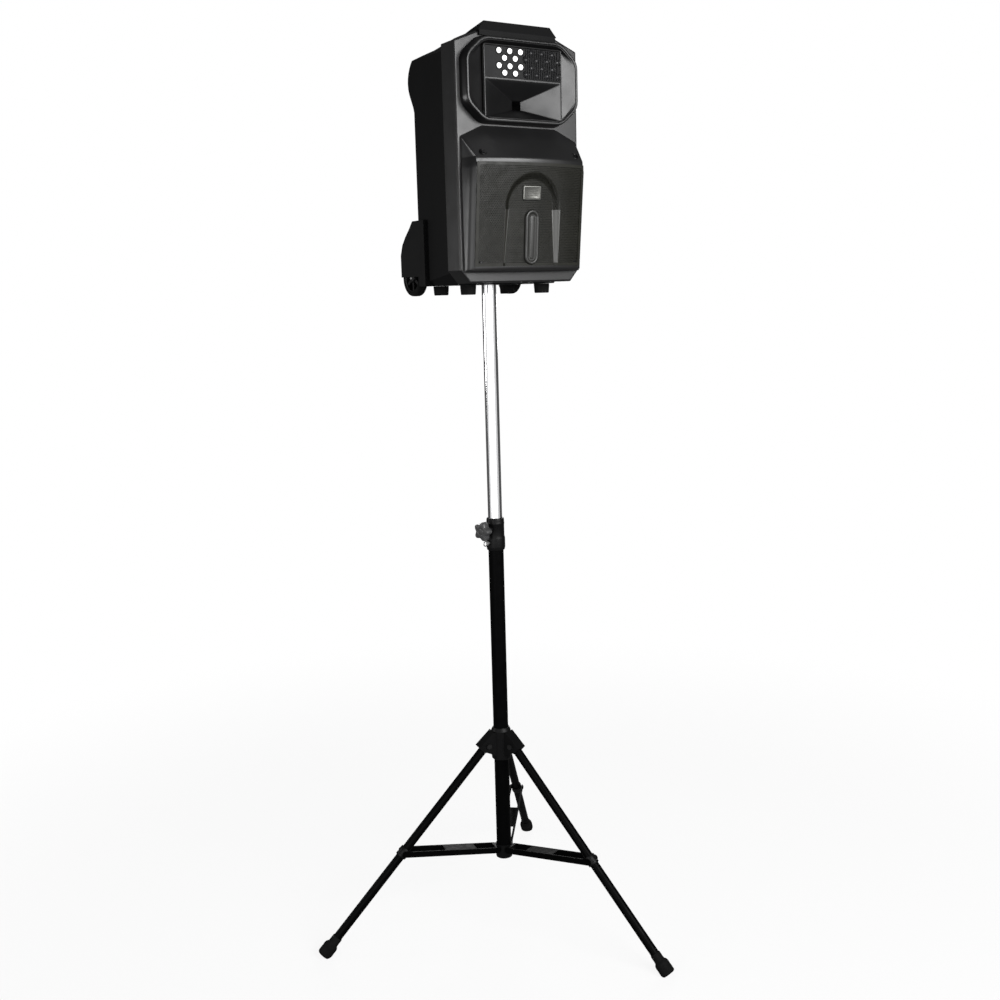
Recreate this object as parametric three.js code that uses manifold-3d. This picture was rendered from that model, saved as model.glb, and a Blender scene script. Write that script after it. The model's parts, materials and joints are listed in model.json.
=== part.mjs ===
// A portable PA speaker standing on its telescopic tripod stand.
//
// Millimetres, +Z up. The speaker's front faces -Y and +X is to the right, seen from the front.
// Everything is designed about the pole axis (X = Y = 0, floor at Z = 0). At the end the whole
// group is shifted so that the origin is at the middle of the bottom of the object's box.

import * as THREE from 'three';
import { mergeVertices } from 'three/addons/utils/BufferGeometryUtils.js';
import { ConvexGeometry } from 'three/addons/geometries/ConvexGeometry.js';
import Module from 'manifold-3d';

const wasm = await Module();
wasm.setup();

// ---------------------------------------------------------------- driving dimensions

const GAP = 0.3; // between pieces that touch
const RUN = 0.6; // between pieces that slide or turn

// Stand, from the floor up.
const COLUMN = { radius: 19, bore: 17.9, bottom: 172, top: 1044 };
const MAST = { radius: 17.5, bore: 15.5, bottom: 760, top: 1737 };
const COLLAR = { radius: 22, flare: 23.5, bottom: 987, top: 1068 };
const COLLAR_KNOB = { azimuth: 195, height: 1040, radius: 21, lobe: 3.5, from: 36, to: 54 };
const HEIGHT_PIN = { height: 1007, radius: 3, ring: 6, wire: 1.3 };
const HUB = { radius: 25, bottom: 437, top: 521 };
const HUB_KNOB = { azimuth: 110, height: 455, radius: 14, lobe: 2.5, from: 36, to: 50 };
const LOWER_HUB = { radius: 21, bottom: 170, top: 201 };
const LEG_AZIMUTHS = [170, 290, 50];
const LEG = { pivotR: 39.6, pivotZ: 478, angle: 43.6, radius: 11, bore: 9.5, length: 628 };
const FOOT = { from: 600, shoulder: 622, to: 656, radius: 18, neck: 14.5 };
const LEG_BRACKET = { at: 340, radius: 14, length: 24 };
const BRACE = {
  pivotR: 23.5, pivotZ: 190, angle: 9.5, length: 254, height: 15, inside: 14.5, thick: 3, pin: 3,
};
const WING = { slope: 42, clear: 11.8, thick: 5, inner: -34, outer: 20, cheek: 3 };

// Speaker cabinet.
const CABINET = { bottom: 1637, wall: 4, bezelBack: -89, front: -146, rear: 95 };
const BEZEL = { half: 162, chamfer: 3, wall: 5, baffle: 8, top: 2179, topHalf: 103 };
const SHELL = { half: 158, taper: 0.13, bulge: 130 };
const WOOFER = { height: 1800, frame: 125, hole: 112 };
const WINDOW = { half: 103, bottom: 1993, top: 2149 };
const TRIM = { half: 150, bottom: 1984, top: 2168, front: -173, window: -162, lean: 3.5, rim: 5 };
const HORN = { half: 98, bottom: 1996, top: 2076, mouth: -170, throat: -138, back: -96 };
const THROAT = { half: 11.5, tall: 9.5, height: 2028, wall: 3 };
const MODULE = { half: 151, bottom: 1664, top: 1981, frontTop: 1908, frontBottom: 1670 };
const ARCH = { half: 70, centre: 1805, depth: 12 };
const HANDLE = { topHalf: 87, top: 2200, front: -152 };
const WHEEL = { radius: 44, width: 24, outer: 147, y: 118, z: 1658 };
const FENDER = { inner: 96, outer: 151, rear: 160, edge: 1660 };
const RAIL = { x: 80, y: 106, radius: 9, bore: 7.5, bottom: 1712, top: 2088 };
const ROD = { radius: 7, bottom: 1730, top: 2122 };
const GRIP = { half: 100, front: 98, rear: 122, bottom: 2122.3, top: 2146 };
const PANEL = { half: 64, bottom: 1822, top: 2058, thick: 3, rear: 98.3 };
const SOCKET = { radius: 22, bore: 18, top: 1752, flange: 36 };

// ---------------------------------------------------------------- solid helpers

const radians = THREE.MathUtils.degToRad;
const vector = (x, y, z) => new THREE.Vector3(x, y, z);

/** Copies a geometry with its shared corners joined, keeping positions only. */
function welded(geometry) {
  const bare = geometry.clone();
  if (!bare.hasAttribute('normal')) return bare;
  bare.deleteAttribute('normal');
  bare.deleteAttribute('uv');
  return mergeVertices(bare, 1e-4);
}

function toSolid(geometry) {
  const merged = welded(geometry);
  const corners = [];
  for (let i = 0; i < merged.index.count; i += 3) {
    const [a, b, c] = [0, 1, 2].map((k) => merged.index.getX(i + k));
    if (a !== b && b !== c && c !== a) corners.push(a, b, c);
  }
  return new wasm.Manifold(new wasm.Mesh({
    numProp: 3,
    vertProperties: new Float32Array(merged.attributes.position.array),
    triVerts: new Uint32Array(corners),
  }));
}

function toGeometry(solid) {
  const mesh = solid.getMesh();
  const geometry = new THREE.BufferGeometry();
  geometry.setAttribute('position', new THREE.BufferAttribute(mesh.vertProperties, 3));
  geometry.setIndex(new THREE.BufferAttribute(mesh.triVerts, 1));
  return geometry;
}

const combine = (method) => (first, ...others) => {
  const start = toSolid(first);
  return toGeometry(others.reduce((solid, other) => solid[method](toSolid(other)), start));
};
const join = combine('add');
const cut = combine('subtract');
const meet = combine('intersect');

/** A box between two limits on each axis. */
function block([x0, x1], [y0, y1], [z0, z1]) {
  const geometry = new THREE.BoxGeometry(x1 - x0, y1 - y0, z1 - z0);
  return geometry.translate((x0 + x1) / 2, (y0 + y1) / 2, (z0 + z1) / 2);
}

/** A round bar between two points. */
function rod(radius, from, to, sides = 16) {
  const along = to.clone().sub(from);
  const turn = new THREE.Quaternion().setFromUnitVectors(vector(0, 1, 0), along.clone().normalize());
  const middle = from.clone().add(to).multiplyScalar(0.5);
  return new THREE.CylinderGeometry(radius, radius, along.length(), sides)
    .applyQuaternion(turn).translate(middle.x, middle.y, middle.z);
}

/** A profile of [radius, height] pairs, counterclockwise, turned about the Z axis. */
function turned(profile, sides = 20) {
  const points = profile.map(([radius, height]) => new THREE.Vector2(radius, height));
  return new THREE.LatheGeometry(points, sides).rotateX(Math.PI / 2);
}

/** A ring or tube about the Z axis. */
function ring(outer, inner, bottom, top, sides = 20) {
  return turned([[inner, bottom], [outer, bottom], [outer, top], [inner, top], [inner, bottom]], sides);
}

const polygon = (points) => new THREE.Shape(points.map(([x, y]) => new THREE.Vector2(x, y)));

/** A shape of (X, Y) points pushed up from one height to another. */
function alongZ(shape, from, to) {
  const options = { depth: to - from, bevelEnabled: false, curveSegments: 6 };
  return new THREE.ExtrudeGeometry(shape, options).translate(0, 0, from);
}

/** A shape of (X, Z) points pushed along Y. */
const alongY = (shape, from, to) => alongZ(shape, 0, to - from).rotateX(Math.PI / 2).translate(0, to, 0);

/** A shape of (Y, Z) points pushed along X. */
function alongX(shape, from, to) {
  const axes = new THREE.Matrix4().makeBasis(vector(0, 1, 0), vector(0, 0, 1), vector(1, 0, 0));
  return alongZ(shape, from, to).applyMatrix4(axes);
}

/** Mirrors a piece to the other side of the X = 0 plane, keeping its faces outwards. */
function mirrored(geometry) {
  const copy = welded(geometry).scale(-1, 1, 1);
  const order = copy.index;
  for (let i = 0; i < order.count; i += 3) {
    const second = order.getX(i + 1);
    order.setX(i + 1, order.getX(i + 2));
    order.setX(i + 2, second);
  }
  return copy;
}

/** A flat shape with round lobes, such as a hand knob's outline. */
function lobed(radius, lobe, count) {
  const steps = count * 6;
  const points = Array.from({ length: steps }, (_, i) => {
    const angle = (i / steps) * 2 * Math.PI;
    const reach = radius + lobe * Math.cos(count * angle);
    return [reach * Math.cos(angle), reach * Math.sin(angle)];
  });
  return polygon(points);
}

// ---------------------------------------------------------------- finishes and parts

const FINISHES = {
  shell: { color: 0x121213, roughness: 0.62, metalness: 0 },
  bezel: { color: 0x252527, roughness: 0.42, metalness: 0 },
  grille: { color: 0x2f2f29, roughness: 0.55, metalness: 0.2 },
  gloss: { color: 0x0b0b0d, roughness: 0.15, metalness: 0 },
  badge: { color: 0x8d8f90, roughness: 0.35, metalness: 0.6 },
  powderCoat: { color: 0x0c0c0d, roughness: 0.5, metalness: 0.1 },
  chrome: { color: 0xe8eaec, roughness: 0.08, metalness: 1 },
  rubber: { color: 0x0e0e0e, roughness: 0.9, metalness: 0 },
  nylon: { color: 0x1a1a1b, roughness: 0.6, metalness: 0 },
  steel: { color: 0x9a9c9e, roughness: 0.35, metalness: 1 },
  castIron: { color: 0x2b2b2c, roughness: 0.7, metalness: 0.8 },
  aluminium: { color: 0x3a3b3d, roughness: 0.45, metalness: 0.9 },
  board: { color: 0x14301f, roughness: 0.6, metalness: 0 },
  paper: { color: 0x17171a, roughness: 0.85, metalness: 0 },
};

const stand = new THREE.Group();
const speaker = new THREE.Group();

function addPart(group, name, geometry, finish) {
  const material = new THREE.MeshStandardMaterial({ ...FINISHES[finish], flatShading: true });
  const mesh = new THREE.Mesh(toGeometry(toSolid(geometry)), material);
  mesh.name = name;
  group.add(mesh);
  return mesh;
}

// ---------------------------------------------------------------- stand: column, collar and mast

/** Moves a piece whose axis is +X, starting at the pole axis, out to an azimuth and height. */
const radial = (geometry, azimuth, height) => geometry.rotateZ(radians(azimuth)).translate(0, 0, height);

function makeKnob({ radius, lobe, from, to, azimuth, height }, stemFrom) {
  const head = alongZ(lobed(radius, lobe, 5), from, to).rotateY(Math.PI / 2);
  const boss = rod(9, vector(from - 3, 0, 0), vector(from, 0, 0), 12);
  const stem = rod(4, vector(stemFrom, 0, 0), vector(from, 0, 0), 12);
  return radial(join(head, boss, stem), azimuth, height);
}

function makeStemHole(azimuth, height, radius, reach) {
  return radial(rod(radius, vector(0, 0, 0), vector(reach, 0, 0), 12), azimuth, height);
}

function addColumn() {
  const pinHole = makeStemHole(COLLAR_KNOB.azimuth, HEIGHT_PIN.height, HEIGHT_PIN.radius + 0.4, 40);
  const tube = ring(COLUMN.radius, COLUMN.bore, COLUMN.bottom, COLUMN.top);
  addPart(stand, 'column_tube', cut(tube, pinHole), 'powderCoat');

  const columnBore = COLUMN.radius + GAP;
  const mastBore = MAST.radius + RUN;
  const body = turned([
    [columnBore, COLLAR.bottom], [COLLAR.radius, COLLAR.bottom], [COLLAR.flare, COLLAR.bottom + 8],
    [COLLAR.flare, COLLAR.bottom + 30], [COLLAR.radius, COLLAR.bottom + 36],
    [COLLAR.radius, COLLAR.top - 6], [COLLAR.radius - 1.5, COLLAR.top], [mastBore, COLLAR.top],
    [mastBore, COLUMN.top + GAP], [columnBore, COLUMN.top + GAP], [columnBore, COLLAR.bottom],
  ]);
  const boss = radial(rod(9.5, vector(COLUMN.radius + 1, 0, 0), vector(32, 0, 0), 16),
    COLLAR_KNOB.azimuth, COLLAR_KNOB.height);
  const pinBoss = radial(rod(6, vector(COLUMN.radius + 1, 0, 0), vector(27, 0, 0), 12),
    COLLAR_KNOB.azimuth, HEIGHT_PIN.height);
  const stemHole = makeStemHole(COLLAR_KNOB.azimuth, COLLAR_KNOB.height, 4.5, 60);
  addPart(stand, 'collar_clamp', cut(join(body, boss, pinBoss), stemHole, pinHole), 'nylon');
  addPart(stand, 'collar_knob', makeKnob(COLLAR_KNOB, COLUMN.radius + 0.5), 'nylon');

  const pin = rod(HEIGHT_PIN.radius, vector(COLUMN.bore + 0.2, 0, 0), vector(32, 0, 0), 12);
  const pinHead = rod(5, vector(27.4, 0, 0), vector(30, 0, 0), 12);
  const pullRing = new THREE.TorusGeometry(HEIGHT_PIN.ring, HEIGHT_PIN.wire, 6, 14)
    .rotateX(Math.PI / 2).translate(32 + HEIGHT_PIN.ring - 1, 0, 0);
  addPart(stand, 'height_pin', radial(join(pin, pinHead, pullRing), COLLAR_KNOB.azimuth,
    HEIGHT_PIN.height), 'steel');
}

function addMast() {
  addPart(stand, 'mast_tube', ring(MAST.radius, MAST.bore, MAST.bottom, MAST.top, 32), 'chrome');
  addPart(stand, 'mast_foot_plug', turned([
    [0, MAST.bottom - 12], [MAST.radius - 1.5, MAST.bottom - 12], [MAST.radius, MAST.bottom - 10],
    [MAST.radius, MAST.bottom - GAP], [MAST.bore - GAP, MAST.bottom - GAP],
    [MAST.bore - GAP, MAST.bottom + 22], [0, MAST.bottom + 22],
  ], 16), 'nylon');
  addPart(stand, 'mast_top_plug', turned([
    [0, MAST.top - 25], [MAST.bore - GAP, MAST.top - 25], [MAST.bore - GAP, MAST.top + GAP],
    [MAST.radius - 0.3, MAST.top + GAP], [MAST.radius - 0.3, MAST.top + 4],
    [MAST.radius - 2, MAST.top + 6], [0, MAST.top + 6],
  ], 16), 'nylon');
}

// ---------------------------------------------------------------- stand: hubs, legs and braces

/** A point of the wing bracket: along the wing's slope, and up from the leg pivot. */
function wingPoint(along, up) {
  const slope = radians(WING.slope);
  return [LEG.pivotR + along * Math.cos(slope) + up * Math.sin(slope),
    LEG.pivotZ - along * Math.sin(slope) + up * Math.cos(slope)];
}

/** A shape of (radius, Z) points, pushed sideways between two tangential offsets. */
const sideways = (shape, from, to) => alongY(shape, from, to);

function makeHub() {
  const gapHalf = LEG.radius + RUN;
  const outerHalf = gapHalf + WING.cheek;
  const wing = polygon([
    wingPoint(WING.inner, WING.clear), wingPoint(WING.outer, WING.clear),
    wingPoint(WING.outer, WING.clear + WING.thick), wingPoint(WING.inner, WING.clear + WING.thick),
  ]);
  const cheek = polygon([
    [17, HUB.bottom + 10], [46, LEG.pivotZ - 16], wingPoint(WING.outer, -4),
    wingPoint(WING.outer, WING.clear + 1), wingPoint(WING.inner, WING.clear + 1), [17, HUB.top - 12],
  ]);
  const pieces = [];
  const holes = [rod(COLUMN.radius + GAP, vector(0, 0, HUB.bottom - 1), vector(0, 0, HUB.top + 1), 24)];
  for (const azimuth of LEG_AZIMUTHS) {
    const turn = radians(azimuth);
    pieces.push(sideways(wing, -outerHalf, outerHalf).rotateZ(turn));
    pieces.push(sideways(cheek, gapHalf, outerHalf).rotateZ(turn));
    pieces.push(sideways(cheek, -outerHalf, -gapHalf).rotateZ(turn));
    holes.push(rod(4, vector(LEG.pivotR, -20, LEG.pivotZ), vector(LEG.pivotR, 20, LEG.pivotZ), 8)
      .rotateZ(turn));
  }
  const sleeve = turned([
    [0, HUB.bottom], [HUB.radius - 1.5, HUB.bottom], [HUB.radius, HUB.bottom + 2],
    [HUB.radius, HUB.top - 8], [HUB.radius - 4, HUB.top], [0, HUB.top],
  ]);
  const knobBoss = radial(rod(9, vector(COLUMN.radius + 1, 0, 0), vector(32, 0, 0), 12),
    HUB_KNOB.azimuth, HUB_KNOB.height);
  holes.push(makeStemHole(HUB_KNOB.azimuth, HUB_KNOB.height, 4.5, 60));
  return cut(join(sleeve, ...pieces, knobBoss), ...holes);
}

function makeLowerHub() {
  const collar = ring(LOWER_HUB.radius, COLUMN.radius + GAP, LOWER_HUB.bottom, LOWER_HUB.top);
  const half = BRACE.inside - RUN;
  const floor = ring(LOWER_HUB.radius, 8, LOWER_HUB.bottom - 5, LOWER_HUB.bottom + 1.6);
  const ears = [];
  const holes = [rod(COLUMN.radius + GAP, vector(0, 0, COLUMN.bottom - GAP), vector(0, 0, 220), 24)];
  for (const azimuth of LEG_AZIMUTHS) {
    ears.push(block([17, 28], [-half, half], [BRACE.pivotZ - 5.5, BRACE.pivotZ + 8])
      .rotateZ(radians(azimuth)));
    const pinAt = (side) => vector(BRACE.pivotR, side, BRACE.pivotZ);
    holes.push(rod(BRACE.pin + GAP, pinAt(-20), pinAt(20), 12).rotateZ(radians(azimuth)));
  }
  return cut(join(collar, floor, ...ears), ...holes);
}

/** Turns a leg piece, drawn hanging down from its pivot at the origin, to its place. */
function placeOnLeg(geometry, azimuth) {
  return geometry.rotateY(-radians(LEG.angle)).translate(LEG.pivotR, 0, LEG.pivotZ)
    .rotateZ(radians(azimuth));
}

function makeLegTube() {
  const tube = rod(LEG.radius, vector(0, 0, -LEG.length), vector(0, 0, 0), 16);
  const eye = rod(LEG.radius, vector(0, -LEG.radius + 1, 0), vector(0, LEG.radius - 1, 0), 16);
  const hollow = rod(LEG.bore, vector(0, 0, -LEG.length - 1), vector(0, 0, -18), 16);
  const hole = rod(4.2, vector(0, -20, 0), vector(0, 20, 0), 8);
  return cut(join(tube, eye), hollow, hole);
}

function makeLegFoot() {
  const bore = LEG.radius + GAP;
  return turned([
    [0, -FOOT.to], [FOOT.radius - 3, -FOOT.to], [FOOT.radius, -FOOT.to + 4],
    [FOOT.radius, -FOOT.shoulder], [FOOT.neck, -FOOT.from], [bore, -FOOT.from],
    [bore, -LEG.length - GAP], [0, -LEG.length - GAP],
  ], 16);
}

function makeBrace() {
  const half = BRACE.height / 2;
  const bar = new THREE.Shape();
  bar.absarc(0, 0, half, Math.PI / 2, Math.PI * 1.5);
  bar.absarc(BRACE.length, 0, half, -Math.PI / 2, Math.PI / 2);
  const outside = BRACE.inside + BRACE.thick;
  const rivet = (x) => rod(5, vector(x, outside - 1, 0), vector(x, outside + 2, 0), 8);
  const strap = join(sideways(bar, BRACE.inside, outside), rivet(0), rivet(BRACE.length));
  const otherStrap = strap.clone().rotateX(Math.PI);
  const web = block([60, 145], [-outside, outside], [half - BRACE.thick, half]);
  const pin = rod(BRACE.pin, vector(0, -outside, 0), vector(0, outside, 0), 8);
  return join(strap, otherStrap, web, pin);
}

function makeLegBolt() {
  const reach = LEG.radius + RUN + WING.cheek + GAP;
  const y = (side, out) => vector(LEG.pivotR, side * (reach + out), LEG.pivotZ);
  return join(rod(3.7, y(-1, 1), y(1, 1), 12), rod(7, y(-1, 4), y(-1, 0), 6), rod(7, y(1, 0), y(1, 4), 6));
}

function addTripod() {
  addPart(stand, 'tripod_hub', makeHub(), 'nylon');
  addPart(stand, 'hub_knob', makeKnob(HUB_KNOB, COLUMN.radius + 0.5), 'nylon');
  addPart(stand, 'lower_hub', makeLowerHub(), 'nylon');
  const floor = block([-800, 800], [-800, 800], [0, 200]);
  LEG_AZIMUTHS.forEach((azimuth, index) => {
    const number = index + 1;
    addPart(stand, `leg_tube_${number}`, placeOnLeg(makeLegTube(), azimuth), 'powderCoat');
    addPart(stand, `leg_foot_${number}`, meet(placeOnLeg(makeLegFoot(), azimuth), floor), 'rubber');
    // The bracket clears the brace's two straps, which aren't pinned to it.
    const bracket = ring(LEG_BRACKET.radius, LEG.radius + GAP, -LEG_BRACKET.length / 2,
      LEG_BRACKET.length / 2, 16).translate(0, 0, -LEG_BRACKET.at);
    addPart(stand, `leg_bracket_${number}`, placeOnLeg(bracket, azimuth), 'nylon');
    const brace = makeBrace().rotateY(-radians(BRACE.angle))
      .translate(BRACE.pivotR, 0, BRACE.pivotZ).rotateZ(radians(azimuth));
    addPart(stand, `brace_${number}`, brace, 'powderCoat');
    addPart(stand, `leg_bolt_${number}`, makeLegBolt().rotateZ(radians(azimuth)), 'steel');
  });
}

// ---------------------------------------------------------------- speaker: casing

/** The cabinet's rear shell as seen from the side, moved in by an inset. */
function sideOutline(inset, bulged) {
  const shape = new THREE.Shape();
  const wall = CABINET.rear - inset;
  shape.moveTo(CABINET.bezelBack - 40, CABINET.bottom + inset);
  shape.lineTo(wall, CABINET.bottom + inset);
  if (bulged) {
    shape.lineTo(wall, 2038);
    shape.bezierCurveTo(wall + 8, 2064, SHELL.bulge - inset, 2080, SHELL.bulge - inset, 2108);
    shape.bezierCurveTo(SHELL.bulge - inset, 2132, 110 - inset, 2152 - inset, 80, 2164 - inset);
  } else {
    shape.lineTo(wall, 2159 - inset);
  }
  shape.lineTo(-29, 2185 - inset);
  shape.lineTo(CABINET.bezelBack - 40, 2187 - inset);
  return shape;
}

/** The solid that fills the rear shell, moved in by an inset, with the side bulges or without. */
function shellSolid(inset, bulged) {
  const front = CABINET.bezelBack + (inset ? -1 : 0);
  const half = (y) => SHELL.half - inset - SHELL.taper * (y - CABINET.bezelBack);
  const plan = polygon([[-half(front), front], [half(front), front], [half(150), 150], [-half(150), 150]]);
  const side = SHELL.half - inset;
  const face = polygon([
    [-128 + inset, CABINET.bottom + inset], [128 - inset, CABINET.bottom + inset],
    [side, CABINET.bottom + 26], [side, 2142], [103 - inset / 2, 2171 - inset],
    [89 - inset / 2, 2188 - inset], [-89 + inset / 2, 2188 - inset], [-103 + inset / 2, 2171 - inset],
    [-side, 2142], [-side, CABINET.bottom + 26],
  ]);
  return meet(alongX(sideOutline(inset, bulged), -200, 200), alongZ(plan, 1600, 2250),
    alongY(face, -150, 180));
}

function makeFender() {
  const slope = polygon([
    [40, CABINET.bottom], [FENDER.rear - 6, CABINET.bottom], [FENDER.rear, CABINET.bottom + 8],
    [FENDER.rear, 1712], [150, 1736], [134, 1754], [113, 1772], [CABINET.rear, 1790], [40, 1790],
  ]);
  return alongX(slope, FENDER.inner, FENDER.outer);
}

function makeRearShell() {
  const recessHalf = GRIP.half + 4;
  const middle = block([-recessHalf, recessHalf], [CABINET.rear, 200], [1720, 2260]);
  const fender = makeFender();
  const outer = join(cut(shellSolid(0, true), middle), fender, mirrored(fender));

  const behindMiddle = block([-recessHalf - 4, recessHalf + 4], [CABINET.rear - CABINET.wall, 200],
    [1600, 2260]);
  const wheelRoom = (side) => block(side > 0 ? [116, 200] : [-200, -116], [60, 200], [1600, 1714]);
  const cavity = cut(shellSolid(CABINET.wall, true), behindMiddle, wheelRoom(1), wheelRoom(-1));

  const pocketInner = WHEEL.outer - WHEEL.width - 2;
  const pocket = rod(WHEEL.radius + 3.5, vector(pocketInner, WHEEL.y, WHEEL.z),
    vector(WHEEL.outer + 0.6, WHEEL.y, WHEEL.z), 28);
  const skirt = block([pocketInner, 160], [WHEEL.y - WHEEL.radius - 3.5, 200], [1600, FENDER.edge]);
  const axleHole = rod(4.5, vector(-149, WHEEL.y, WHEEL.z), vector(149, WHEEL.y, WHEEL.z), 12);
  const poleHole = rod(SOCKET.radius + GAP, vector(0, 0, 1600), vector(0, 0, 1660), 24);
  const panelHole = block([-PANEL.half + 8, PANEL.half - 8], [80, 110], [PANEL.bottom + 8, PANEL.top - 8]);
  return cut(outer, cavity, pocket, mirrored(pocket), skirt, mirrored(skirt), axleHole, poleHole,
    panelHole);
}

/** The bezel's outline at one depth, moved in by an inset, as eight corner points. */
function bezelOutline(inset, y) {
  const corners = [
    [138 - 0.4 * inset, CABINET.bottom + 3 + inset], [BEZEL.half - inset, 1668 + 0.4 * inset],
    [BEZEL.half - inset, 2155 - 0.5 * inset], [BEZEL.topHalf - 0.5 * inset, BEZEL.top - inset],
  ];
  return corners.flatMap(([x, z]) => [vector(x, y, z), vector(-x, y, z)]);
}

function makeBezel() {
  const back = CABINET.bezelBack - GAP;
  const outer = new ConvexGeometry([
    ...bezelOutline(0, back), ...bezelOutline(0, CABINET.front + BEZEL.chamfer),
    ...bezelOutline(BEZEL.chamfer, CABINET.front),
  ]);
  const inner = new ConvexGeometry([
    ...bezelOutline(BEZEL.wall, back + 1), ...bezelOutline(BEZEL.wall, CABINET.front + BEZEL.baffle),
  ]);
  const wooferHole = rod(WOOFER.hole, vector(0, -160, WOOFER.height), vector(0, -130, WOOFER.height), 40);
  const window = block([-WINDOW.half, WINDOW.half], [-160, -120], [WINDOW.bottom, WINDOW.top]);
  return cut(outer, inner, wooferHole, window);
}

/** A four-cornered outline in a plane of constant Y. */
const rectangle = (half, bottom, top, y) => [
  vector(-half, y, bottom), vector(half, y, bottom), vector(half, y, top), vector(-half, y, top),
];

/** The upper trim's eight-sided outline, moved in by an inset. */
function octagon(inset, y) {
  const corner = [45, 40];
  const half = TRIM.half - inset;
  const [low, high] = [TRIM.bottom + inset, TRIM.top - inset];
  const cutX = corner[0] - 0.4 * inset;
  const cutZ = corner[1] - 0.4 * inset;
  const points = [[half - cutX, low], [half, low + cutZ], [half, high - cutZ], [half - cutX, high]];
  return points.flatMap(([x, z]) => [vector(x, y, z), vector(-x, y, z)]);
}

function makeUpperTrim() {
  const outer = new ConvexGeometry([
    ...octagon(0, CABINET.front - GAP), ...octagon(TRIM.lean, TRIM.front),
  ]);
  const funnel = new ConvexGeometry([
    ...octagon(TRIM.lean + TRIM.rim, TRIM.front - 0.5),
    ...rectangle(WINDOW.half, WINDOW.bottom, WINDOW.top, TRIM.window),
  ]);
  const window = block([-WINDOW.half, WINDOW.half], [TRIM.window - 1, -140], [WINDOW.bottom, WINDOW.top]);
  return cut(outer, funnel, window);
}

// ---------------------------------------------------------------- speaker: grille module

/** The bowed front edge of the lower module at one height. */
function bowedEdge(half, proud, bow, z) {
  const steps = [-1, -0.72, -0.4, 0, 0.4, 0.72, 1];
  return steps.map((t) => vector(half * t, CABINET.front - proud - bow * (1 - t * t), z));
}

/** The lower module as a filled solid, moved in by an inset. */
function moduleSolid(inset) {
  const back = CABINET.front - GAP;
  const half = MODULE.half - inset;
  return new ConvexGeometry([
    ...[[half + 3, MODULE.bottom + inset], [half + 3, 1956], [98, MODULE.top - inset]]
      .flatMap(([x, z]) => [vector(x, back, z), vector(-x, back, z)]),
    ...bowedEdge(half, 24 - inset, 16, MODULE.frontBottom + inset),
    ...bowedEdge(half, 46 - inset, 20, MODULE.frontTop - 20 - inset),
    ...bowedEdge(half - 9, 48 - inset, 20, MODULE.frontTop - inset),
  ]);
}

const panelEdge = { half: 141, bottom: 1676, top: 1898 };

function makeModuleFrame() {
  const hollow = moduleSolid(5).translate(0, 0.5, 0);
  const window = block([-panelEdge.half - GAP, panelEdge.half + GAP], [-260, -150],
    [panelEdge.bottom - GAP, panelEdge.top + GAP]);
  return cut(moduleSolid(0), hollow, window);
}

/** The arch-shaped recess of the grille, as a straight-sided cutter of a given half-width. */
function archCutter(half) {
  const shape = new THREE.Shape();
  shape.moveTo(-half, 1600);
  shape.lineTo(half, 1600);
  shape.lineTo(half, ARCH.centre);
  shape.absarc(0, ARCH.centre, half, 0, Math.PI);
  return alongY(shape, -260, -140);
}

function makeGrille() {
  const thick = 3;
  const pocket = (half, depth) => cut(archCutter(half), moduleSolid(0).translate(0, depth, 0));
  const front = cut(moduleSolid(0), pocket(ARCH.half, ARCH.depth));
  const behind = cut(moduleSolid(0).translate(0, thick, 0), pocket(ARCH.half + thick, ARCH.depth + thick));
  const limits = block([-panelEdge.half, panelEdge.half], [-260, CABINET.front - 6],
    [panelEdge.bottom, panelEdge.top]);
  return meet(cut(front, behind), limits);
}

/** A plate standing on the floor of the grille's recess. */
function onRecess(shape, height) {
  const slab = alongY(shape, -260, -140);
  const floor = moduleSolid(0).translate(0, ARCH.depth - GAP, 0);
  return cut(meet(slab, moduleSolid(0).translate(0, ARCH.depth - GAP - height, 0)), floor);
}

function makeRib() {
  const half = 18.5;
  const shape = new THREE.Shape();
  shape.absarc(0, 1799 - half, half, 0, Math.PI);
  shape.lineTo(-half, 1680);
  shape.lineTo(half, 1680);
  return onRecess(shape, 9);
}

function makeBadge() {
  return onRecess(polygon([[-24, 1819], [24, 1819], [24, 1850], [-24, 1850]]), 4);
}

// ---------------------------------------------------------------- speaker: sound and light

function makeHorn() {
  const wall = THROAT.wall;
  const throat = (grow, y) => rectangle(THROAT.half + grow, THROAT.height - THROAT.tall - grow,
    THROAT.height + THROAT.tall + grow, y);
  const mouth = (grow, y) => rectangle(HORN.half + grow, HORN.bottom - grow, HORN.top + grow, y);
  const flare = new ConvexGeometry([...mouth(2, HORN.mouth), ...throat(wall, HORN.throat + wall)]);
  const flange = block([-HORN.half - 4, HORN.half + 4], [HORN.mouth, HORN.mouth + 5],
    [HORN.bottom - 2, HORN.top + 2]);
  const neck = block([-THROAT.half - wall, THROAT.half + wall], [HORN.throat, HORN.back],
    [THROAT.height - THROAT.tall - wall, THROAT.height + THROAT.tall + wall]);
  const hollow = new ConvexGeometry([...mouth(0, HORN.mouth - 1), ...throat(0, HORN.throat)]);
  const bore = block([-THROAT.half, THROAT.half], [HORN.throat - 1, HORN.back + 1],
    [THROAT.height - THROAT.tall, THROAT.height + THROAT.tall]);
  return cut(join(flare, flange, neck), hollow, bore);
}

/** A turned piece whose axis runs along Y through a given height, drawn with Z as depth. */
const facingRear = (profile, height, sides) => turned(profile, sides).rotateX(-Math.PI / 2)
  .translate(0, 0, height);

function makeWooferBasket() {
  const front = CABINET.front - GAP;
  return facingRear([
    [0, -38], [40, -38], [40, -56], [56, -56], [101, front + 12], [101, front - 5],
    [WOOFER.frame, front - 5], [WOOFER.frame, front], [106, front], [106, front + 14], [62, -46],
    [56, -44], [56, -22], [0, -22],
  ], WOOFER.height, 24);
}

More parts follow.
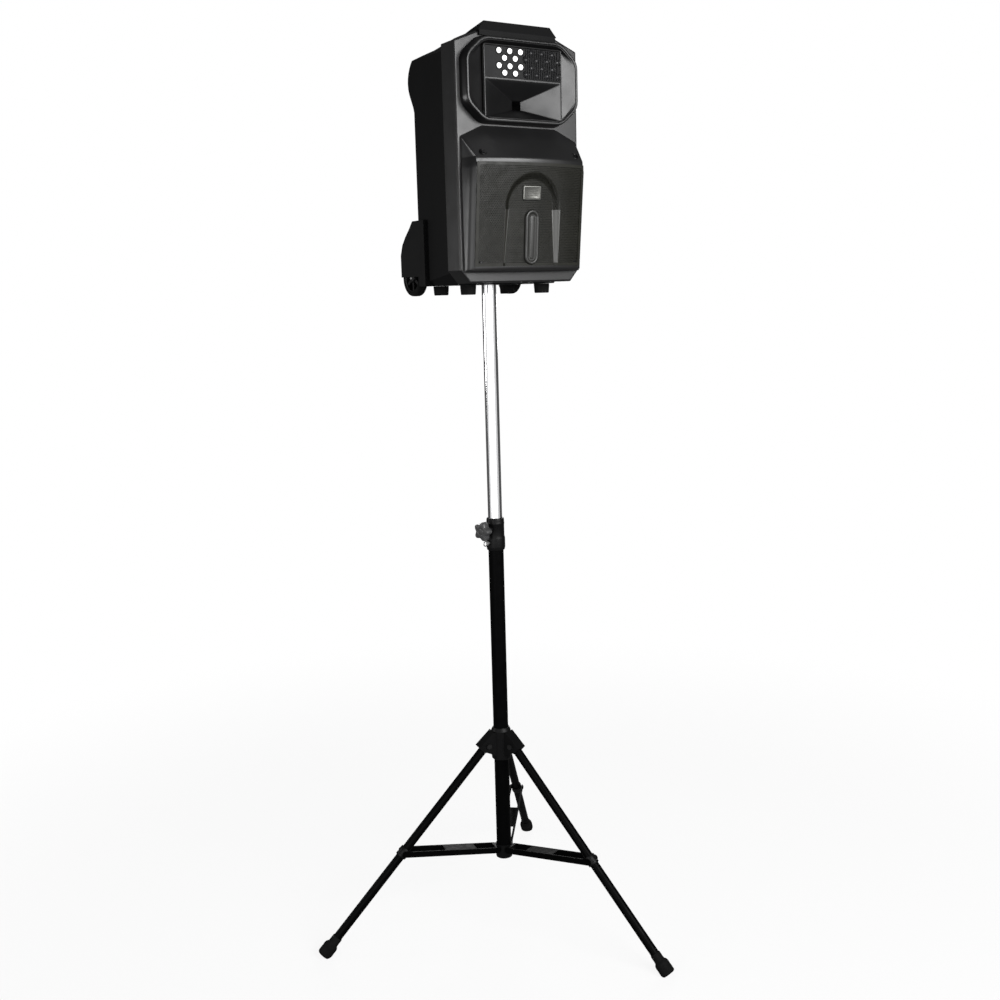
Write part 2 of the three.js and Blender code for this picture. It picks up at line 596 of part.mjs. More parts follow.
function makeWooferCone() {
  const front = CABINET.front;
  return facingRear([
    [0, -112], [24, -104], [84, front - 1], [92, front - 6], [99.5, front - 1], [99.5, front + 2],
    [92, front - 3], [85, front + 3], [26, -96], [26, -66], [0, -66],
  ], WOOFER.height, 20);
}

function addFront() {
  addPart(speaker, 'rear_shell', makeRearShell(), 'shell');
  addPart(speaker, 'front_bezel', makeBezel(), 'bezel');
  addPart(speaker, 'upper_trim', makeUpperTrim(), 'bezel');
  addPart(speaker, 'module_frame', makeModuleFrame(), 'bezel');
  addPart(speaker, 'grille', makeGrille(), 'grille');
  addPart(speaker, 'grille_rib', makeRib(), 'grille');
  addPart(speaker, 'badge_plate', makeBadge(), 'badge');
  addPart(speaker, 'horn', makeHorn(), 'bezel');
  addPart(speaker, 'compression_driver', facingRear([
    [0, HORN.back + GAP], [34, HORN.back + GAP], [38, HORN.back + 6], [38, HORN.back + 34],
    [30, HORN.back + 46], [0, HORN.back + 46],
  ], THROAT.height, 24), 'castIron');
  addPart(speaker, 'led_lens', block([-101, 101], [-169, -166], [2080, 2146]), 'gloss');
  addPart(speaker, 'led_board', block([-98, 98], [-158, -156], [2082, 2144]), 'board');
  addPart(speaker, 'woofer_basket', makeWooferBasket(), 'castIron');
  addPart(speaker, 'woofer_cone', makeWooferCone(), 'paper');
}

// ---------------------------------------------------------------- speaker: fittings

function makeCarryHandle() {
  const bottom = BEZEL.top + GAP;
  const rear = CABINET.bezelBack - GAP;
  const level = (half, y, z) => [vector(-half, y, z), vector(half, y, z)];
  const body = new ConvexGeometry([
    ...level(BEZEL.topHalf, HANDLE.front, bottom), ...level(BEZEL.topHalf, rear, bottom),
    ...level(HANDLE.topHalf, HANDLE.front + 3, HANDLE.top), ...level(HANDLE.topHalf, rear, HANDLE.top - 9),
  ]);
  const apronHalf = BEZEL.topHalf - 3;
  const apron = block([-apronHalf, apronHalf], [HANDLE.front, CABINET.front - GAP],
    [TRIM.top + 1, bottom + 1]);
  const slot = block([-60, 60], [-124, -97], [bottom + 4, 2300]);
  return cut(join(body, apron), slot);
}

function makeSocket() {
  return turned([
    [SOCKET.bore, CABINET.bottom + 0.5], [SOCKET.radius, CABINET.bottom + 0.5],
    [SOCKET.radius, CABINET.bottom + CABINET.wall + GAP],
    [SOCKET.flange, CABINET.bottom + CABINET.wall + GAP],
    [SOCKET.flange, CABINET.bottom + CABINET.wall + 4], [SOCKET.radius, CABINET.bottom + 16],
    [SOCKET.radius, SOCKET.top], [0, SOCKET.top], [0, MAST.top + 6 + GAP],
    [SOCKET.bore, MAST.top + 6 + GAP], [SOCKET.bore, CABINET.bottom + 0.5],
  ]);
}

function makeCabinetFoot() {
  const top = CABINET.bottom - GAP;
  return turned([[0, top - 22], [16.5, top - 22], [18.5, top - 19], [18.5, top], [0, top]], 14);
}

function makeWheel() {
  const half = WHEEL.width / 2;
  const bore = 4.6;
  const rim = WHEEL.radius;
  return turned([
    [bore, -half], [12, -half], [14, -half + 5], [30, -half + 5], [33, -half], [rim - 4, -half],
    [rim, -half + 4], [rim, half - 4], [rim - 4, half], [33, half], [30, half - 5], [14, half - 5],
    [12, half], [bore, half], [bore, -half],
  ], 24).rotateY(Math.PI / 2);
}

function addFittings() {
  addPart(speaker, 'carry_handle', makeCarryHandle(), 'bezel');
  addPart(speaker, 'pole_socket', makeSocket(), 'aluminium');
  const feet = [[-102, -75], [102, -75], [-94, 66], [94, 66]];
  feet.forEach(([x, y], index) => {
    addPart(speaker, `cabinet_foot_${index + 1}`, makeCabinetFoot().translate(x, y, 0), 'rubber');
  });
  const wheelX = WHEEL.outer - WHEEL.width / 2;
  addPart(speaker, 'wheel_left', makeWheel().translate(-wheelX, WHEEL.y, WHEEL.z), 'rubber');
  addPart(speaker, 'wheel_right', makeWheel().translate(wheelX, WHEEL.y, WHEEL.z), 'rubber');
  addPart(speaker, 'wheel_axle', rod(4, vector(-147.4, WHEEL.y, WHEEL.z),
    vector(147.4, WHEEL.y, WHEEL.z), 12), 'steel');
  addPart(speaker, 'battery', block([44, 112], [-60, 40], [1642, 1708]), 'nylon');
}

function makeRail(x) {
  const tube = ring(RAIL.radius, RAIL.bore, RAIL.bottom, RAIL.top, 16).translate(x, RAIL.y, 0);
  const bracket = (z) => block([x - 13, x + 13], [CABINET.rear + GAP, RAIL.y - 3], [z, z + 22]);
  const hole = rod(RAIL.bore, vector(x, RAIL.y, RAIL.bottom - 5), vector(x, RAIL.y, RAIL.top + 5), 16);
  return cut(join(tube, bracket(RAIL.bottom + 14), bracket(RAIL.top - 40)), hole);
}

function addTrolley() {
  addPart(speaker, 'trolley_rail_left', makeRail(-RAIL.x), 'powderCoat');
  addPart(speaker, 'trolley_rail_right', makeRail(RAIL.x), 'powderCoat');
  const makeRod = (x) => rod(ROD.radius, vector(x, RAIL.y, ROD.bottom), vector(x, RAIL.y, ROD.top), 16);
  addPart(speaker, 'trolley_rod_left', makeRod(-RAIL.x), 'chrome');
  addPart(speaker, 'trolley_rod_right', makeRod(RAIL.x), 'chrome');
  const section = polygon([
    [GRIP.front, GRIP.bottom + 5], [GRIP.front + 5, GRIP.bottom], [GRIP.rear - 6, GRIP.bottom],
    [GRIP.rear, GRIP.bottom + 6], [GRIP.rear, GRIP.top - 8], [GRIP.rear - 8, GRIP.top],
    [GRIP.front + 6, GRIP.top], [GRIP.front, GRIP.top - 6],
  ]);
  const grip = alongX(section, -GRIP.half, GRIP.half);
  const well = block([-16, 16], [GRIP.front + 5, GRIP.rear - 7], [GRIP.top - 8, GRIP.top + 5]);
  addPart(speaker, 'trolley_grip', cut(grip, well), 'nylon');
  addPart(speaker, 'trolley_button', block([-15.4, 15.4], [GRIP.front + 5.6, GRIP.rear - 7.6],
    [GRIP.top - 4, GRIP.top + 2]), 'gloss');
}

const KNOBS = [['knob_volume', -42], ['knob_bass', 0], ['knob_treble', 42]];
const KNOB_HEIGHT = 2020;
const SWITCH = { x: 38, z: 1856, half: 7, tall: 11 };
const INLET = { x: -34, z: 1856, half: 14, tall: 11 };

function makeControlKnob(x) {
  const base = PANEL.rear + GAP;
  const body = facingRear([[0, base - 5], [3, base - 5], [3, base], [10, base], [10, base + 3],
    [8, base + 12], [0, base + 12]], KNOB_HEIGHT, 20);
  const pointer = block([-0.8, 0.8], [base + 3, base + 13], [KNOB_HEIGHT, KNOB_HEIGHT + 8]);
  return join(body, pointer).translate(x, 0, 0);
}

function makeAmpPanel() {
  const face = PANEL.rear - PANEL.thick;
  const plate = block([-PANEL.half, PANEL.half], [face, PANEL.rear], [PANEL.bottom, PANEL.top]);
  const chassisHalf = PANEL.half - 9;
  const chassis = block([-chassisHalf, chassisHalf], [62, face + 1], [PANEL.bottom + 9, PANEL.top - 9]);
  const fins = [-36, -18, 0, 18, 36].map((x) => block([x - 2, x + 2], [PANEL.rear - 1, PANEL.rear + 9],
    [1885, 1960]));
  const holes = KNOBS.map(([, x]) => rod(3.6, vector(x, 88, KNOB_HEIGHT), vector(x, 110, KNOB_HEIGHT), 12));
  const recess = ({ x, z, half, tall }, depth) => block([x - half - GAP, x + half + GAP],
    [PANEL.rear - depth, PANEL.rear + 5], [z - tall - GAP, z + tall + GAP]);
  return cut(join(plate, chassis, ...fins), ...holes, recess(SWITCH, 14), recess(INLET, 22));
}

function makeInlet() {
  const { x, z, half, tall } = INLET;
  const body = block([x - half, x + half], [PANEL.rear - 21, PANEL.rear + 1], [z - tall, z + tall]);
  const cavity = block([x - half + 3, x + half - 3], [PANEL.rear - 17, PANEL.rear + 5],
    [z - tall + 3, z + tall - 3]);
  const contacts = [-6, 0, 6].map((shift) => block([x + shift - 1, x + shift + 1],
    [PANEL.rear - 18, PANEL.rear - 9], [z - 3, z + 3]));
  return join(cut(body, cavity), ...contacts);
}

function makeRocker() {
  const { x, z, half, tall } = SWITCH;
  const deep = PANEL.rear - 9;
  const side = polygon([
    [deep, z - 4], [PANEL.rear - 1, z - tall + 1.2], [PANEL.rear + 4, z - tall + 1.6],
    [PANEL.rear + 1, z], [PANEL.rear + 1.5, z + tall - 1.6], [PANEL.rear - 3, z + tall - 1.2], [deep, z + 4],
  ]);
  return alongX(side, x - half + 0.6, x + half - 0.6);
}

function addControls() {
  addPart(speaker, 'amp_panel', makeAmpPanel(), 'aluminium');
  KNOBS.forEach(([name, x]) => addPart(speaker, name, makeControlKnob(x), 'nylon'));
  addPart(speaker, 'power_switch', makeRocker(), 'gloss');
  addPart(speaker, 'power_inlet', makeInlet(), 'nylon');
}

// ---------------------------------------------------------------- assembly

addColumn();
addMast();
addTripod();
addFront();
addFittings();
addTrolley();
addControls();

const group = new THREE.Group();
group.add(stand, speaker);
const reach = new THREE.Box3().setFromObject(group);
const middle = reach.getCenter(vector(0, 0, 0));
group.position.set(-middle.x, -middle.y, -reach.min.z);
group.updateMatrixWorld(true);

export default group;
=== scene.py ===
"""A portable PA speaker on its tripod stand: the looks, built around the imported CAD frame.

Builders work in millimetres about the pole axis, as the CAD part is designed: X to the right seen
from the front, the speaker facing -Y, Z up from the floor. mesh_object() turns them into metres.
"""
import json
import math

import bmesh
import bpy
import numpy as np
from mathutils import Matrix, Vector


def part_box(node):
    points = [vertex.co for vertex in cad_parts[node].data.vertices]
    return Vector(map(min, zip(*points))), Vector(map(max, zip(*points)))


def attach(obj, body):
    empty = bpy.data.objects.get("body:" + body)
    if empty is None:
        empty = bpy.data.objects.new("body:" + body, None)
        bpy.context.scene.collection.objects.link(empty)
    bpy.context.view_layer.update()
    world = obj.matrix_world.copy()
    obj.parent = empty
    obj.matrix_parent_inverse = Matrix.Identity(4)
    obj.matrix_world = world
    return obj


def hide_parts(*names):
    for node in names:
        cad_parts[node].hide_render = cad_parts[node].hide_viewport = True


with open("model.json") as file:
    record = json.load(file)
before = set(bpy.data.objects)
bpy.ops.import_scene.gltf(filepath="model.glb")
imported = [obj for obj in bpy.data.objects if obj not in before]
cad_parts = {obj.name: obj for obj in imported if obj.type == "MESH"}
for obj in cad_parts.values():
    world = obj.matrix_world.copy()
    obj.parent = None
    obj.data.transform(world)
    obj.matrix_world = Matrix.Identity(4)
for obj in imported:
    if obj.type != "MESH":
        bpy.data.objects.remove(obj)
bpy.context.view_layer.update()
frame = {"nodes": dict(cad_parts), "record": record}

MM = 0.001
pole_low, pole_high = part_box("mast_tube")
POLE = Vector(((pole_low.x + pole_high.x) / 2, (pole_low.y + pole_high.y) / 2, 0))


def box_mm(node):
    """(lowest corner, highest corner) of a CAD node, in millimetres about the pole axis."""
    low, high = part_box(node)
    return (low - POLE) / MM, (high - POLE) / MM


# ------------------------------------------------------------------ camera and stage

CAMERA_PLACE = Vector((-1.4828, -2.4086, 1.6203))   # metres from the foot of the pole axis
CAMERA_HEADING = math.radians(31.887)               # clockwise from +Y, seen from above
CAMERA_PITCH = math.radians(-10.199)
CAMERA_ROLL = -0.0265
CAMERA_LENS = 41.70


def add_camera():
    level = math.cos(CAMERA_PITCH)
    forward = Vector((math.sin(CAMERA_HEADING) * level, math.cos(CAMERA_HEADING) * level,
                      math.sin(CAMERA_PITCH)))
    right = forward.cross(Vector((0, 0, 1))).normalized()
    up = right.cross(forward)
    turned_right = right * math.cos(CAMERA_ROLL) + up * math.sin(CAMERA_ROLL)
    turned_up = up * math.cos(CAMERA_ROLL) - right * math.sin(CAMERA_ROLL)
    data = bpy.data.cameras.new("camera")
    data.lens = CAMERA_LENS
    data.sensor_width = 36
    data.clip_end = 200
    camera = bpy.data.objects.new("camera", data)
    bpy.context.scene.collection.objects.link(camera)
    axes = Matrix((turned_right, turned_up, -forward)).transposed()
    camera.matrix_world = Matrix.Translation(POLE + CAMERA_PLACE) @ axes.to_4x4()
    bpy.context.scene.camera = camera


def add_area_light(name, azimuth, distance, height, target_height, size, power):
    """A softbox at an azimuth round the object: 0 is its front, and positive is its left hand."""
    angle = math.radians(azimuth)
    place = (distance * math.sin(angle), -distance * math.cos(angle), height)
    data = bpy.data.lights.new(name, "AREA")
    data.shape = "RECTANGLE"
    data.size, data.size_y = size
    data.energy = power
    lamp = bpy.data.objects.new(name, data)
    lamp.visible_camera = False
    bpy.context.scene.collection.objects.link(lamp)
    aim = Vector((0, 0, target_height)) - Vector(place)
    turn = aim.to_track_quat("-Z", "Y").to_matrix().to_4x4()
    lamp.matrix_world = Matrix.Translation(POLE + Vector(place)) @ turn


FLOOR_SIDES = 64
FLOOR_REACHES = (0.01, 0.5, 1, 2, 3)       # metres from the pole axis
FLOOR_DROP = 0.0005                        # metres, so that the feet stay clear of it
FLOOR_FADE_START, FLOOR_FADE_END = 1.0, 2.6
FLOOR_CLEARNESS = 0.88                     # how see-through the floor is next to the stand


def add_floor():
    """A white floor round the stand that fades out into the white surroundings."""
    angles = np.linspace(0, 2 * math.pi, FLOOR_SIDES + 1)[:-1]
    verts = [(reach * math.cos(a), reach * math.sin(a), 0)
             for reach in FLOOR_REACHES for a in angles]
    faces = []
    for ring in range(len(FLOOR_REACHES) - 1):
        inner, outer = ring * FLOOR_SIDES, (ring + 1) * FLOOR_SIDES
        for i in range(FLOOR_SIDES):
            after = (i + 1) % FLOOR_SIDES
            faces.append((inner + i, inner + after, outer + after, outer + i))
    faces.append(tuple(range(FLOOR_SIDES)))
    mesh = bpy.data.meshes.new("floor")
    mesh.from_pydata(verts, [], faces)
    floor = bpy.data.objects.new("floor", mesh)
    floor.location = (POLE.x, POLE.y, -FLOOR_DROP)
    bpy.context.scene.collection.objects.link(floor)
    floor.data.materials.append(floor_material())


def floor_material():
    material = bpy.data.materials.new("floor_paper")
    material.use_nodes = True
    tree = material.node_tree
    shader = tree.nodes["Principled BSDF"]
    shader.inputs["Base Color"].default_value = (0.92, 0.92, 0.92, 1)
    shader.inputs["Roughness"].default_value = 0.9
    shader.inputs["Specular IOR Level"].default_value = 0.1
    clear = tree.nodes.new("ShaderNodeBsdfTransparent")
    mix = tree.nodes.new("ShaderNodeMixShader")
    length = tree.nodes.new("ShaderNodeVectorMath")
    length.operation = "LENGTH"
    span = tree.nodes.new("ShaderNodeMapRange")
    span.inputs["From Min"].default_value = FLOOR_FADE_START
    span.inputs["From Max"].default_value = FLOOR_FADE_END
    span.inputs["To Min"].default_value = FLOOR_CLEARNESS
    span.inputs["To Max"].default_value = 1.0
    span.interpolation_type = "SMOOTHSTEP"
    coordinates = tree.nodes.new("ShaderNodeTexCoord")
    tree.links.new(coordinates.outputs["Object"], length.inputs[0])
    tree.links.new(length.outputs["Value"], span.inputs["Value"])
    tree.links.new(span.outputs["Result"], mix.inputs["Fac"])
    tree.links.new(shader.outputs["BSDF"], mix.inputs[1])
    tree.links.new(clear.outputs["BSDF"], mix.inputs[2])
    tree.links.new(mix.outputs["Shader"], tree.nodes["Material Output"].inputs["Surface"])
    return material


def add_surroundings():
    """White behind the object, but only a dim even light from all sides onto it."""
    world = bpy.data.worlds.new("studio")
    world.use_nodes = True
    tree = world.node_tree
    seen = tree.nodes["Background"]
    seen.inputs["Color"].default_value = (1, 1, 1, 1)
    seen.inputs["Strength"].default_value = 1.0
    fill = tree.nodes.new("ShaderNodeBackground")
    fill.inputs["Color"].default_value = (1, 1, 1, 1)
    fill.inputs["Strength"].default_value = 0.08
    path = tree.nodes.new("ShaderNodeLightPath")
    mix = tree.nodes.new("ShaderNodeMixShader")
    tree.links.new(path.outputs["Is Camera Ray"], mix.inputs["Fac"])
    tree.links.new(fill.outputs["Background"], mix.inputs[1])
    tree.links.new(seen.outputs["Background"], mix.inputs[2])
    tree.links.new(mix.outputs["Shader"], tree.nodes["World Output"].inputs["Surface"])
    scene = bpy.context.scene
    scene.world = world
    scene.view_settings.view_transform = "Standard"
    scene.view_settings.look = "None"


PANELS = ((-97, 9), (-64, 33), (-31, 17), (2, 15), (35, 7))   # azimuth in degrees, watts


def add_lights():
    """A ring of soft panels round the front, a stronger one facing it, and dim ones behind."""
    for number, (azimuth, power) in enumerate(PANELS):
        add_area_light(f"panel_{number}", azimuth, 3.4, 1.2, 1.2, (1.95, 1.9), power)
    add_area_light("key", 10, 3.2, 2.38, 1.95, (2.5, 1.15), 112)
    add_area_light("left_rear", -128, 3.4, 1.62, 1.7, (0.6, 0.9), 16)
    add_area_light("right_rear", 140, 3.4, 2.1, 1.7, (1.4, 1.6), 40)
    add_area_light("overhead", 0, 0.4, 4.4, 0, (1.8, 1.8), 3)


# ------------------------------------------------------------------ materials


NOISE_LOW, NOISE_HIGH = 0.35, 0.65   # the middle of a noise, spread over the whole change


class Nodes:
    """A new material's node tree, with short calls for the nodes used here."""

    def __init__(self, name, color, roughness, metallic=0.0, **sockets):
        self.material = bpy.data.materials.new(name)
        self.material.use_nodes = True
        self.tree = self.material.node_tree
        self.shader = self.tree.nodes["Principled BSDF"]
        self.shader.inputs["Base Color"].default_value = (*color, 1)
        self.shader.inputs["Roughness"].default_value = roughness
        self.shader.inputs["Metallic"].default_value = metallic
        for socket, value in sockets.items():
            self.shader.inputs[socket.replace("_", " ")].default_value = value
        self.coordinates = self.tree.nodes.new("ShaderNodeTexCoord").outputs["Object"]
        self.color, self.roughness = color, roughness

    def noise(self, scale, detail, stretch=None):
        texture = self.tree.nodes.new("ShaderNodeTexNoise")
        texture.inputs["Scale"].default_value = scale
        texture.inputs["Detail"].default_value = detail
        source = self.coordinates
        if stretch:
            mapping = self.tree.nodes.new("ShaderNodeMapping")
            mapping.inputs["Scale"].default_value = stretch
            self.tree.links.new(source, mapping.inputs["Vector"])
            source = mapping.outputs["Vector"]
        self.tree.links.new(source, texture.inputs["Vector"])
        return texture.outputs["Fac"]

    def cells(self, scale):
        texture = self.tree.nodes.new("ShaderNodeTexVoronoi")
        texture.inputs["Scale"].default_value = scale
        self.tree.links.new(self.coordinates, texture.inputs["Vector"])
        return texture.outputs["Distance"]

    def between(self, factor, low, high):
        """Maps the middle of a noise's range to low..high."""
        span = self.tree.nodes.new("ShaderNodeMapRange")
        span.inputs["From Min"].default_value = NOISE_LOW
        span.inputs["From Max"].default_value = NOISE_HIGH
        span.inputs["To Min"].default_value = low
        span.inputs["To Max"].default_value = high
        self.tree.links.new(factor, span.inputs["Value"])
        return span.outputs["Result"]

    def vary_roughness(self, factor, spread):
        varied = self.between(factor, self.roughness - spread, self.roughness + spread)
        self.tree.links.new(varied, self.shader.inputs["Roughness"])

    def vary_color(self, factor, other):
        mix = self.tree.nodes.new("ShaderNodeMix")
        mix.data_type = "RGBA"
        self.tree.links.new(self.between(factor, 0, 1), mix.inputs["Factor"])
        mix.inputs["A"].default_value = (*self.color, 1)
        mix.inputs["B"].default_value = (*other, 1)
        self.tree.links.new(mix.outputs["Result"], self.shader.inputs["Base Color"])

    def bump(self, height, strength, distance):
        bump = self.tree.nodes.new("ShaderNodeBump")
        bump.inputs["Strength"].default_value = strength
        bump.inputs["Distance"].default_value = distance
        self.tree.links.new(height, bump.inputs["Height"])
        self.tree.links.new(bump.outputs["Normal"], self.shader.inputs["Normal"])


def shade(color, factor):
    return tuple(channel * factor for channel in color)


def moulded_plastic(name, color, roughness, grain, grain_scale, coat=0.0, gleam=0.5):
    """Injection-moulded ABS: a fine spark-eroded grain, and slow changes in tint and gloss."""
    nodes = Nodes(name, color, roughness, Coat_Weight=coat, Coat_Roughness=0.2,
                  Specular_IOR_Level=gleam)
    nodes.vary_color(nodes.noise(9, 3), shade(color, 1.2))
    nodes.vary_roughness(nodes.noise(22, 4), 0.03)
    nodes.bump(nodes.cells(grain_scale), grain, 0.0002)
    return nodes.material


def painted_metal(name, color, roughness, orange_peel=0.12, gleam=0.5):
    """Baked paint or powder coat, with the fine dimples of sprayed paint."""
    nodes = Nodes(name, color, roughness, Specular_IOR_Level=gleam)
    nodes.vary_color(nodes.noise(14, 3), shade(color, 1.4))
    nodes.vary_roughness(nodes.noise(60, 3), 0.07)
    nodes.bump(nodes.noise(900, 1), orange_peel, 0.0002)
    return nodes.material


def bare_metal(name, color, roughness, brushed=(1, 1, 60)):
    """Unpainted metal with a faint brushed grain, which is fine along one axis."""
    nodes = Nodes(name, color, roughness, 1.0)
    nodes.vary_roughness(nodes.noise(30, 4, brushed), 0.04)
    nodes.bump(nodes.noise(120, 2, brushed), 0.04, 0.0001)
    return nodes.material


def polished_metal(name, color, roughness):
    """Bright chrome plate: faint smears in its gloss and a slight change of tint."""
    nodes = Nodes(name, color, roughness, 1.0)
    nodes.vary_color(nodes.noise(16, 2, (1, 1, 0.3)), shade(color, 0.95))
    nodes.vary_roughness(nodes.noise(45, 3, (1, 1, 0.25)), 0.02)
    return nodes.material


def rubber(name, color):
    nodes = Nodes(name, color, 0.78, Specular_IOR_Level=0.12)
    nodes.vary_color(nodes.noise(35, 4), shade(color, 1.8))
    nodes.vary_roughness(nodes.noise(80, 3), 0.08)
    nodes.bump(nodes.noise(700, 3), 0.3, 0.0003)
    return nodes.material


def glowing(name, color, strength):
    nodes = Nodes(name, (0.9, 0.9, 0.9), 0.3)
    nodes.shader.inputs["Emission Color"].default_value = (*color, 1)
    nodes.shader.inputs["Emission Strength"].default_value = strength
    nodes.vary_roughness(nodes.noise(300, 2), 0.05)
    return nodes.material


def pressed_paper(name, color):
    nodes = Nodes(name, color, 0.85)
    nodes.vary_color(nodes.noise(220, 5), shade(color, 2.0))
    nodes.bump(nodes.noise(1100, 4), 0.35, 0.0004)
    return nodes.material


SHELL = moulded_plastic("shell_plastic", (0.0032, 0.0032, 0.0034), 0.52, 0.3, 600, gleam=0.1)
BEZEL = moulded_plastic("bezel_plastic", (0.007, 0.007, 0.0073), 0.34, 0.015, 300)
TRIM = moulded_plastic("trim_plastic", (0.004, 0.004, 0.0042), 0.32, 0.012, 260, gleam=0.42)
MODULE = moulded_plastic("module_plastic", (0.01, 0.01, 0.0103), 0.34, 0.015, 300)
HORN = moulded_plastic("horn_plastic", (0.003, 0.003, 0.0032), 0.33, 0.012, 260, gleam=0.34)
GRILLE = painted_metal("grille_paint", (0.010, 0.010, 0.0075), 0.5, 0.06, 0.27)
RIB = moulded_plastic("rib_plastic", (0.014, 0.014, 0.0125), 0.38, 0.15, 1500)
GLOSS = moulded_plastic("gloss_plastic", (0.005, 0.005, 0.006), 0.14, 0.02, 700, coat=0.4)
ARCH = moulded_plastic("arch_plastic", (0.02, 0.02, 0.0165), 0.34, 0.02, 300, gleam=0.9)
BADGE = bare_metal("badge_metal", (0.13, 0.13, 0.122), 0.42, (60, 1, 1))
POWDER_COAT = painted_metal("powder_coat", (0.0012, 0.0012, 0.0013), 0.4, 0.1, 0.035)
CHROME = polished_metal("chrome", (0.93, 0.93, 0.94), 0.13)
STEEL = bare_metal("zinc_steel", (0.5, 0.5, 0.5), 0.32)
CAST_IRON = painted_metal("cast_iron", (0.012, 0.012, 0.013), 0.6, 0.5)
ALUMINIUM = bare_metal("dark_aluminium", (0.045, 0.046, 0.05), 0.4, (60, 1, 1))
RUBBER = rubber("black_rubber", (0.003, 0.003, 0.003))
BOLT = painted_metal("black_steel", (0.006, 0.006, 0.0062), 0.45, 0.05, 0.35)
NYLON = moulded_plastic("nylon", (0.0028, 0.0028, 0.003), 0.42, 0.1, 500, gleam=0.16)
KNOB_NYLON = moulded_plastic("knob_nylon", (0.05, 0.05, 0.051), 0.34, 0.2, 900)
BOARD = painted_metal("solder_mask", (0.006, 0.03, 0.014), 0.35)
PAPER = pressed_paper("cone_paper", (0.012, 0.012, 0.013))
LENS = moulded_plastic("lens_plastic", (0.004, 0.004, 0.0045), 0.36, 0.02, 700, gleam=0.12)
LAMP_ON = glowing("lamp_lit", (1.0, 1.0, 1.0), 1.3)
LAMP_OFF = moulded_plastic("lamp_unlit", (0.012, 0.012, 0.013), 0.3, 0.05, 500, gleam=0.3)


# ------------------------------------------------------------------ mesh tools


SMOOTH_ANGLE = 32     # degrees
WELD = 1e-6           # metres
CAD_WELD = 2e-5       # metres


def smooth_by_angle(obj, degrees):
    """Smooth shading with sharp edges where faces meet at more than the given angle."""
    made = bmesh.new()
    made.from_mesh(obj.data)
    for face in made.faces:
        face.smooth = True
    for edge in made.edges:
        edge.smooth = (len(edge.link_faces) == 2
                       and edge.calc_face_angle(0) < math.radians(degrees))
    made.to_mesh(obj.data)
    made.free()


def finish_object(obj, material, body, nodes=(), angle=SMOOTH_ANGLE):
    """Shades a piece, gives it its material, puts it on the body it rides on, and hides the CAD
    nodes it stands for.
    """
    smooth_by_angle(obj, angle)
    obj.data.materials.clear()
    obj.data.materials.append(material)
    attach(obj, body)
    if nodes:
        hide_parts(*nodes)
    return obj


def mesh_object(name, points, faces):
    """A new object from points in millimetres about the pole axis."""
    mesh = bpy.data.meshes.new(name)
    places = np.array(points, float) * MM + np.array(POLE)
    mesh.from_pydata([tuple(p) for p in places], [],
                     [tuple(int(i) for i in face) for face in faces])
    made = bmesh.new()
    made.from_mesh(mesh)
    bmesh.ops.remove_doubles(made, verts=made.verts, dist=WELD)
    bmesh.ops.recalc_face_normals(made, faces=made.faces)
    made.to_mesh(mesh)
    made.free()
    obj = bpy.data.objects.new(name, mesh)
    bpy.context.scene.collection.objects.link(obj)
    return obj


def loft(rings, closed_ends=True, looped=False):
    """Points and faces of a skin over rings that all have the same number of points."""
    count = len(rings[0])
    points = [tuple(p) for ring in rings for p in ring]
    faces = []
    for r in range(len(rings) if looped else len(rings) - 1):
        a, b = r * count, ((r + 1) % len(rings)) * count
        faces += [(a + i, a + (i + 1) % count, b + (i + 1) % count, b + i)
                  for i in range(count)]
    if closed_ends and not looped:
        faces.append(tuple(range(count - 1, -1, -1)))
        faces.append(tuple((len(rings) - 1) * count + i for i in range(count)))
    return points, faces


def joined(*shells):
    """Several (points, faces) shells as one."""
    points, faces = [], []
    for some_points, some_faces in shells:
        offset = len(points)
        points += list(some_points)
        faces += [tuple(i + offset for i in face) for face in some_faces]
    return points, faces


def moved(shell, matrix):
    points, faces = shell
    return [tuple(matrix @ Vector(p)) for p in points], faces


def turned(profile, sides=64, looped=False):
    """A (radius, height) profile turned about Z. A radius of 0 closes the skin there."""
    angles = [2 * math.pi * i / sides for i in range(sides)]
    rings = [[(r * math.cos(a), r * math.sin(a), h) for a in angles] for r, h in profile]
    return loft(rings, closed_ends=False, looped=looped)


def axis_to(direction, place=(0, 0, 0)):
    """A matrix that turns +Z to a direction and moves the origin to a place."""
    turn = Vector((0, 0, 1)).rotation_difference(Vector(direction)).to_matrix().to_4x4()
    return Matrix.Translation(Vector(place)) @ turn


def rounded_outline(half_x, half_y, radius, inset=0.0, steps=6):
    """A rectangle with round corners, moved in by an inset, as (x, y) points."""
    half_x, half_y = half_x - inset, half_y - inset
    radius = max(min(radius - inset, half_x, half_y), 0.05)
    points = []
    for corner, (sx, sy) in enumerate(((1, 1), (-1, 1), (-1, -1), (1, -1))):
        for step in range(steps + 1):
            angle = math.pi / 2 * (corner + step / steps)
            points.append((sx * (half_x - radius) + radius * math.cos(angle),
                           sy * (half_y - radius) + radius * math.sin(angle)))
    return points


def plate(half_x, half_y, radius, levels, steps=6):
    """A plate built of (inset, height) levels, rising along +Z."""
    return loft([[(x, y, height) for x, y in rounded_outline(half_x, half_y, radius, inset, steps)]
                 for inset, height in levels])


# These turn +Z, the way a plate rises, out of the front or out of the rear.
FACING_FRONT = Matrix(((1, 0, 0, 0), (0, 0, -1, 0), (0, 1, 0, 0), (0, 0, 0, 1)))
FACING_REAR = Matrix(((-1, 0, 0, 0), (0, 0, 1, 0), (0, 1, 0, 0), (0, 0, 0, 1)))


def on_front(place):
    return Matrix.Translation(Vector(place)) @ FACING_FRONT


def on_rear(place):
    return Matrix.Translation(Vector(place)) @ FACING_REAR


